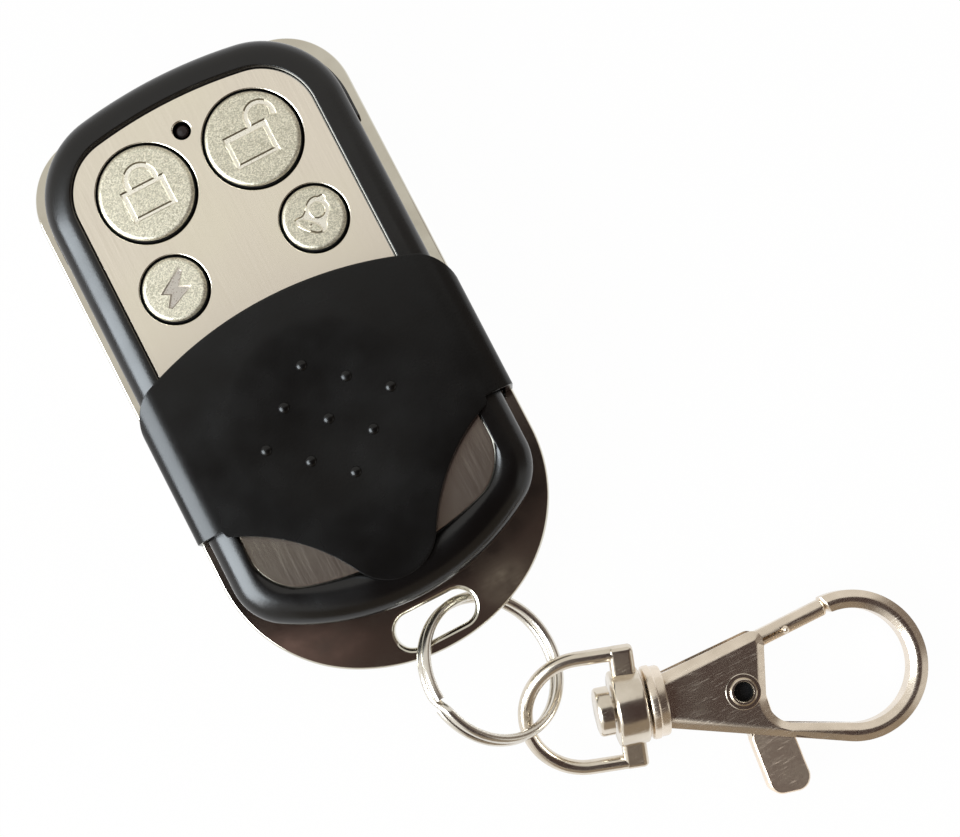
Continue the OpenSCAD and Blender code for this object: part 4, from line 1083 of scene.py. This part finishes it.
cast = Surface()
rivet_hole = circle(*RIVET, RIVET_HOLE, 48)
slab(cast, body_loop, CHEEK_LOW, CHEEK_HIGH, None, body_bevel, arm_taper, rivet_hole, body_ends)
slab(cast, body_loop, -CHEEK_HIGH, -CHEEK_LOW, body_bevel, None, arm_taper, rivet_hole, body_ends)
slab(cast, NECK_FILL, -FILL_HIGH, FILL_HIGH)
arm_fill = np.array([(ARM_FILL_X, ARM_FILL_LOW), *arm_end, (ARM_FILL_X, ARM_FILL_HIGH)])
slab(cast, arm_fill, -FILL_HIGH, FILL_HIGH, taper=arm_taper)
print("body points", len(body_loop))

# %% Hook and flange
HOOK_EDGE = np.array([(0.865, 0.975), (0.592, 1.105), (0.319, 1.235), (0.202, 1.284), (0.085, 1.3)])
HOOK_FROM, HOOK_SLOW, HOOK_TO, TIP_FROM = -99, 100, 107.0, 103.5
SLANT_FROM, SLANT = 90, 0.051
FLANGE = [(1.2, 1.72), (3.25, 1.72), (3.45, 1.82), (3.53, 2.0), (3.53, 2.45), (3.42, 2.55), (3.38, 2.65),
          (3.38, 3.2), (3.28, 3.42), (1.2, 3.47)]


def ease_out(n):
    """Numbers from nearly one down to nought, ever closer together, for the rows of a round tip."""
    return (1 - np.linspace(0, 1, n)[1:]) ** 1.6


def hook_bar():
    """Bevelled section round the hook circle, closing to a round tip cut along the gate's path."""
    section = np.vstack([HOOK_EDGE, HOOK_EDGE[::-1] * [-1, 1], -HOOK_EDGE, HOOK_EDGE[::-1] * [1, -1]])
    tip = HOOK_TO - (HOOK_TO - HOOK_SLOW) * ease_out(12)
    a = np.concatenate([np.linspace(HOOK_FROM, HOOK_SLOW, 100), tip])
    close = np.clip((a - TIP_FROM) / (HOOK_TO - TIP_FROM), 0, 1)
    size = np.sqrt(np.maximum(1 - 0.97 * close ** 2, 0))[:, None]
    out, up = section[:, 0] * size, section[:, 1] * size
    slant = np.clip((a[:, None] - SLANT_FROM) / (HOOK_TO - SLANT_FROM), 0, 1) * SLANT
    way = np.radians(a)[:, None] + slant * out
    r = HOOK_MID + out
    return np.stack([HOOK[0] + r * np.cos(way), HOOK[1] + r * np.sin(way), up], 2)


cast.tube(cast_place(hook_bar()))
cast.grid(place(turned_x(FLANGE)), wrap_rows=True, wrap_columns=True)
show(cast.mesh("clasp_body_cast", nickel_worn, 30.0), "clasp", "nickel", "clasp_body")

# %% [markdown]
# ## Rivet
# The lever turns on a hollow rivet whose ends are rolled over. The rolled rim is one turned profile, the
# same on both faces, and the bore is a blind hole whose wall and floor are painted black as shade. A
# through hole would let the light of the ground shine up through it, and on the real clasp it looks dark.

# %% Rivet
RIM_PROFILE = np.array([(0.85, 1.9), (0.9, 2.2), (1.0, 2.31), (1.1, 2.33), (1.22, 2.28), (1.3, 2.14),
                        (1.34, 2.09), (1.66, 2.08), (1.72, 2.02), (1.72, 1.98), (1.15, 1.97)])
BORE_PROFILE = np.array([(0.02, 1.25), (0.85, 1.25), (0.85, 1.9)])

rivet, at_rivet = Surface(), np.array((*RIVET, 0))
both_rims = turned(np.vstack([RIM_PROFILE, RIM_PROFILE[::-1] * [1, -1]]), 64)
rivet.grid(cast_place(both_rims + at_rivet), wrap_columns=True).painted(0)
# Painted shade: the bore's wall and floor get the black.
for way in (1, -1):
    rows = cast_place(turned(BORE_PROFILE * [1, way], 64) + at_rivet)
    rivet.grid(rows, wrap_columns=True).cap(rows[0]).painted(1)
show(rivet.mesh("clasp_rivet_rolled", (nickel, painted_shade_black)), "clasp", "nickel", "clasp_rivet")

# %% [markdown]
# ## Gate and thumb piece
# The lever is one casting: a hub on the rivet, a thumb piece below the body and a gate that closes the
# hook. The hub and the thumb piece are hulls of circles, like the body. The gate is a sweep with a crowned
# section. A slot at its root holds the leg of the spring, and a nub keeps the leg there. The hub's hole is
# wider than the rivet, because the rivet is drawn a little off the axis that the lever turns on.

# %% Hub and thumb piece
GATE, GATE_TURN = np.array((13.26, 4.18)), math.radians(16.3)
along_gate = np.array((math.cos(GATE_TURN), math.sin(GATE_TURN)))
across_gate = np.array((-along_gate[1], along_gate[0]))
HUB = [(*RIVET, 1.7), (GATE[0] - 1.6, GATE[1] - 0.6, 0.7), (12.3, -4.5, 1.3)]
THUMB = [(12.2, -5.0, 1.2), (14.0, -5.4, 1.1), (13.15, -9.25, 1.3), (14.5, -9.1, 1.4)]
HUB_HIGH, HUB_BEVEL, HUB_HOLE = 1.08, (0.1, 0.1), 1.32
THUMB_HIGH, THUMB_BEVEL = 1.1, (0.15, 0.16)

lever = Surface()
hub_hole = circle(*RIVET, HUB_HOLE, 48)
slab(lever, thin(hull(HUB, 0, 355, 72)), -HUB_HIGH, HUB_HIGH, HUB_BEVEL, HUB_BEVEL, hole=hub_hole)
lever.painted(0)
slab(lever, thin(hull(THUMB, 0, 355, 72)), -THUMB_HIGH, THUMB_HIGH, THUMB_BEVEL, THUMB_BEVEL)
# The thumb piece gets the paler nickel: rubbed wear and painted light together.
lever.painted(1)
print("lever faces", len(lever.faces))

# %% Gate
GATE_SIDES = np.array((0.78, 0.62, 0.45, 0.25, -0.08, -0.1, -0.34, -0.36, -0.56, -0.78))
GATE_HIGH, GATE_CROWN = 1.1, 0.79
GATE_FROM, GATE_ROUND, GATE_TO = -2.2, 6.9, 7.38
LEG_SLOT_END, LEG_SLOT_DEEP, LEG_SLOT_POINTS = 2.35, 0.9, (5, 6)
NUB_ALONG, NUB_ACROSS, NUB_R, NUB_HIGH = 2.8, -0.3, 0.42, 0.75


def gate_bar():
    """Gate from the hub to the hook's tip: a crowned bar with a rounded end and a slot at its root."""
    edge = np.column_stack([GATE_SIDES, GATE_HIGH - GATE_CROWN * GATE_SIDES ** 2])
    section = np.vstack([edge, edge[::-1] * [1, -1]])
    root = np.linspace(GATE_FROM, LEG_SLOT_END - 0.05, 16)
    middle = np.linspace(LEG_SLOT_END + 0.05, GATE_ROUND, 16)
    tip = GATE_TO - (GATE_TO - GATE_ROUND) * ease_out(8)
    run = np.concatenate([root, middle, tip])
    close = np.clip((run - GATE_ROUND) / (GATE_TO - GATE_ROUND), 0, 1)
    size = np.sqrt(np.maximum(1 - 0.95 * close ** 2, 0))[:, None]
    in_slot = np.isin(np.arange(len(section)), LEG_SLOT_POINTS)
    slot = np.where(run < LEG_SLOT_END, LEG_SLOT_DEEP, 0.0)[:, None] * in_slot
    out, up = section[:, 0] * size, section[:, 1] * size - slot
    mid = GATE + run[:, None] * along_gate
    return np.stack([mid[:, :1] + out * across_gate[0], mid[:, 1:] + out * across_gate[1], up], 2)


lever.tube(cast_place(gate_bar()))
u = np.linspace(0.03, np.pi / 2, 8)
nub_at = GATE + NUB_ALONG * along_gate + NUB_ACROSS * across_gate
nub = turned(np.column_stack([NUB_R * np.sin(u), NUB_HIGH + NUB_HIGH * np.cos(u)]), 28)
lever.tube(cast_place(nub + np.array((*nub_at, 0))))
show(lever.mesh("clasp_lever_cast", (nickel_worn, nickel_rubbed_and_lit), 30.0), "lever", "nickel", "clasp_lever")

# %% [markdown]
# ## Hidden pieces
# The electronics, the screws and the spring of the gate stay as the plain solids of the frame. They get
# simple finishes for the views in which they show.

# %% Hidden pieces
HIDDEN = {
    "board_green": ((0.02, 0.11, 0.05), 0.0, 0.4, ["circuit_board"]),
    "chip_black": ((0.015, 0.015, 0.016), 0.0, 0.5,
                   ["encoder_chip", "rf_transistor", "resistors", "lock_switch", "unlock_switch",
                    "bolt_switch", "bell_switch"]),
    "ceramic_tan": ((0.50, 0.33, 0.16), 0.0, 0.5, ["capacitors"]),
    "copper_wire": ((0.75, 0.40, 0.24), 1.0, 0.3, ["antenna_coil"]),
    "tinned_steel": ((0.65, 0.64, 0.62), 1.0, 0.3,
                     ["saw_resonator", "battery_spring", "negative_contact", "positive_contact",
                      "case_screws", "lever_spring"]),
    "cell_jacket": ((0.04, 0.05, 0.08), 0.0, 0.35, ["battery"]),
    "plunger_white": ((0.6, 0.6, 0.58), 0.0, 0.5,
                      ["lock_plunger", "unlock_plunger", "bolt_plunger", "bell_plunger"]),
}
for name, (colour, metal, rough, nodes) in HIDDEN.items():
    finish = Finish(name, Metallic=metal, Specular_IOR_Level=0.5)
    grain = finish.noise(finish.place(), 2.0, 2.0, 0.5)
    dark, pale = [tuple(part * c for c in colour) for part in (0.85, 1.1)]
    finish.feed(Base_Color=finish.blend(grain, dark, pale),
                Roughness=finish.ramp(grain, 0.3, 0.7, rough - 0.05, rough + 0.08))
    for node in nodes:
        for place_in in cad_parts[node].material_slots:
            place_in.material = finish.material
print("hidden finishes", len(HIDDEN))

# %% [markdown]
# ## Cards round the fob
# Chrome and nickel have no look of their own: they show what stands round them. So the studio has cards
# that only mirrors see. A bright one at the upper left is the window, a brown one over the fob is the dark
# room above the camera, and duller ones stand at the loop end and at the right.

# %% Cards round the fob
def aim(thing, where, look):
    """Puts a card or a lamp at a point and turns it to face another."""
    thing.location = Vector(where) * MM
    thing.rotation_euler = (Vector(look) - Vector(where)).to_track_quat("-Z", "Y").to_euler()
    bpy.context.scene.collection.objects.link(thing)


def card(name, size, where, look, colour, strength):
    """Flat card that only mirrors see, facing a point; gives its finish."""
    x, y = size[0] / 2, size[1] / 2
    corners = np.array([(-x, -y, 0), (x, -y, 0), (x, y, 0), (-x, y, 0)])
    made = bpy.data.meshes.new(name)
    made.from_pydata((corners * MM).tolist(), [], [(0, 1, 2, 3)])
    thing = bpy.data.objects.new(name, made)
    aim(thing, where, look)
    finish = Finish(name, Base_Color=(0, 0, 0), Roughness=1.0, Specular_IOR_Level=0.0, Emission_Color=colour,
                    Emission_Strength=strength)
    made.materials.append(finish.material)
    thing.visible_camera = thing.visible_diffuse = thing.visible_shadow = False
    return finish


card("dark_card", (560.0, 330.0), (10, -400, 150), (10, -20, 60), (0.33, 0.27, 0.205), 1.0)
card("window_card", (240.0, 290.0), (-264, 14, 232), (0, -5, 10), (0.86, 0.94, 1.0), 13.0)
card("right_card", (320.0, 520.0), (430, -60, 150), (0, -20, 10), (0.24, 0.20, 0.17), 1.0)
shade = card("overhead_card", (400.0, 442.0), (90, -179, 300), (90, -179, 0), (0.1, 0.07, 0.06), 1.0)
print("cards", 4)

# %% [markdown]
# ## Shades of the overhead card
# The tab is a mirror, and it shows dark and rosy bands and a golden patch beside the slot. They are parts
# of the room over the fob. So the overhead card is not one brown: a bowed band is dark, two ovals are
# lighter, and beyond the band it is grey.

# %% Shades of the overhead card
CARD_MIDDLE, CARD_BOW = 100.0, 0.0075
ROSY_AT, GOLD_AT = (-133.0, 240.0), (-83.0, 242.0)


def card_spot(squash, centre, inner, outer):
    """One inside an oval on the overhead card, falling to nought at its edge."""
    sockets = {0: shade.place((1, squash, 0)), 1: (*centre, 0.0)}
    away = shade.node("ShaderNodeVectorMath", {"operation": "DISTANCE"}, sockets, output=1)
    return shade.ramp(away, inner, outer, 1.0, 0.0)


across_card = shade.node("ShaderNodeSeparateXYZ", {}, [shade.place()]) + CARD_MIDDLE
up_card = shade.node("ShaderNodeSeparateXYZ", {}, [shade.place()], output=1)
up_card = up_card - across_card * across_card * CARD_BOW
rosy = shade.blend(card_spot(1.5, ROSY_AT, 4.0, 18.0), (0.066, 0.045, 0.041), (0.21, 0.14, 0.132))
brown = shade.blend(shade.ramp(up_card, 154.5, 156.0, 1.0, 0.0), (0.020, 0.015, 0.0145), rosy)
brown = shade.blend(shade.ramp(up_card, 165.0, 190.0), brown, (0.122, 0.100, 0.096))
gold = shade.blend(card_spot(1.6, GOLD_AT, 4.0, 7.0), brown, (0.26, 0.225, 0.195))
shade.feed(Emission_Color=gold)
print("overhead card nodes", len(shade.tree.nodes))

# %% [markdown]
# ## Light
# The fob lies under soft, even light. The world gives most of it, and one wide lamp at the upper left gives
# the shadows their side. The camera sees the world as plain white.

# %% Light
ROOM_TONE, WHITE = (0.80, 0.78, 0.74), (1.0, 1.0, 1.0)
LAMP_SIZE, LAMP_WATTS, LAMP_TONE = (200, 160), 0.6, (0.92, 0.96, 1.0)

lamp = bpy.data.lights.new("key_box", "AREA")
lamp.shape, lamp.size, lamp.size_y = "RECTANGLE", LAMP_SIZE[0] * MM, LAMP_SIZE[1] * MM
lamp.energy, lamp.color = LAMP_WATTS, LAMP_TONE
aim(bpy.data.objects.new("key_box", lamp), (-330, -70, 240), (0, -10, 8))

world = bpy.data.worlds.new("room")
bpy.context.scene.world = world
world.use_nodes = True
tree = world.node_tree
seen = Signal(tree, tree.nodes.new("ShaderNodeLightPath").outputs["Is Camera Ray"])
room = make_node(tree, "ShaderNodeMix", {"data_type": "RGBA"}, {0: seen, 6: ROOM_TONE, 7: WHITE}, output=2)
back = tree.nodes["Background"]
tree.links.new(room.socket, back.inputs["Color"])
back.inputs["Strength"].default_value = 1.0
print("lamp", lamp.name, LAMP_WATTS, "W")

# %% [markdown]
# ## Floor
# The floor is a white sweep. To the camera and in mirrors it glows just white, as the ground of the
# photograph does, and a small share of it is left as paper that takes the fob's shadow.

# %% Floor
FLOOR_HALF, FLOOR_DROP, GLOW_SHARE = 3, -0.00005, 0.97

made = bpy.data.meshes.new("sweep")
corners = [(-FLOOR_HALF, -FLOOR_HALF, 0), (FLOOR_HALF, -FLOOR_HALF, 0), (FLOOR_HALF, FLOOR_HALF, 0),
           (-FLOOR_HALF, FLOOR_HALF, 0)]
made.from_pydata(corners, [], [(0, 1, 2, 3)])
floor = bpy.data.objects.new("sweep", made)
floor.location.z = FLOOR_DROP
bpy.context.scene.collection.objects.link(floor)
sweep = Finish("sweep_white", Base_Color=(0.92, 0.92, 0.92), Roughness=0.9, Specular_IOR_Level=0.1)
tree = sweep.tree
path = tree.nodes.new("ShaderNodeLightPath")
camera_ray, glossy_ray, glass_ray = [Signal(tree, path.outputs[f"Is {kind} Ray"])
                                     for kind in ("Camera", "Glossy", "Transmission")]
seen = camera_ray.math("MAXIMUM", glossy_ray).math("MAXIMUM", glass_ray)
glow = make_node(tree, "ShaderNodeEmission", {}, {"Color": WHITE, "Strength": 1.0})
paper = Signal(tree, sweep.shader.outputs[0])
mixed = make_node(tree, "ShaderNodeMixShader", {}, [seen * GLOW_SHARE, paper, glow])
tree.links.new(mixed.socket, tree.nodes["Material Output"].inputs["Surface"])
made.materials.append(sweep.material)

bpy.context.scene.view_settings.view_transform = "Standard"
print("floor", 2 * FLOOR_HALF, "m wide")
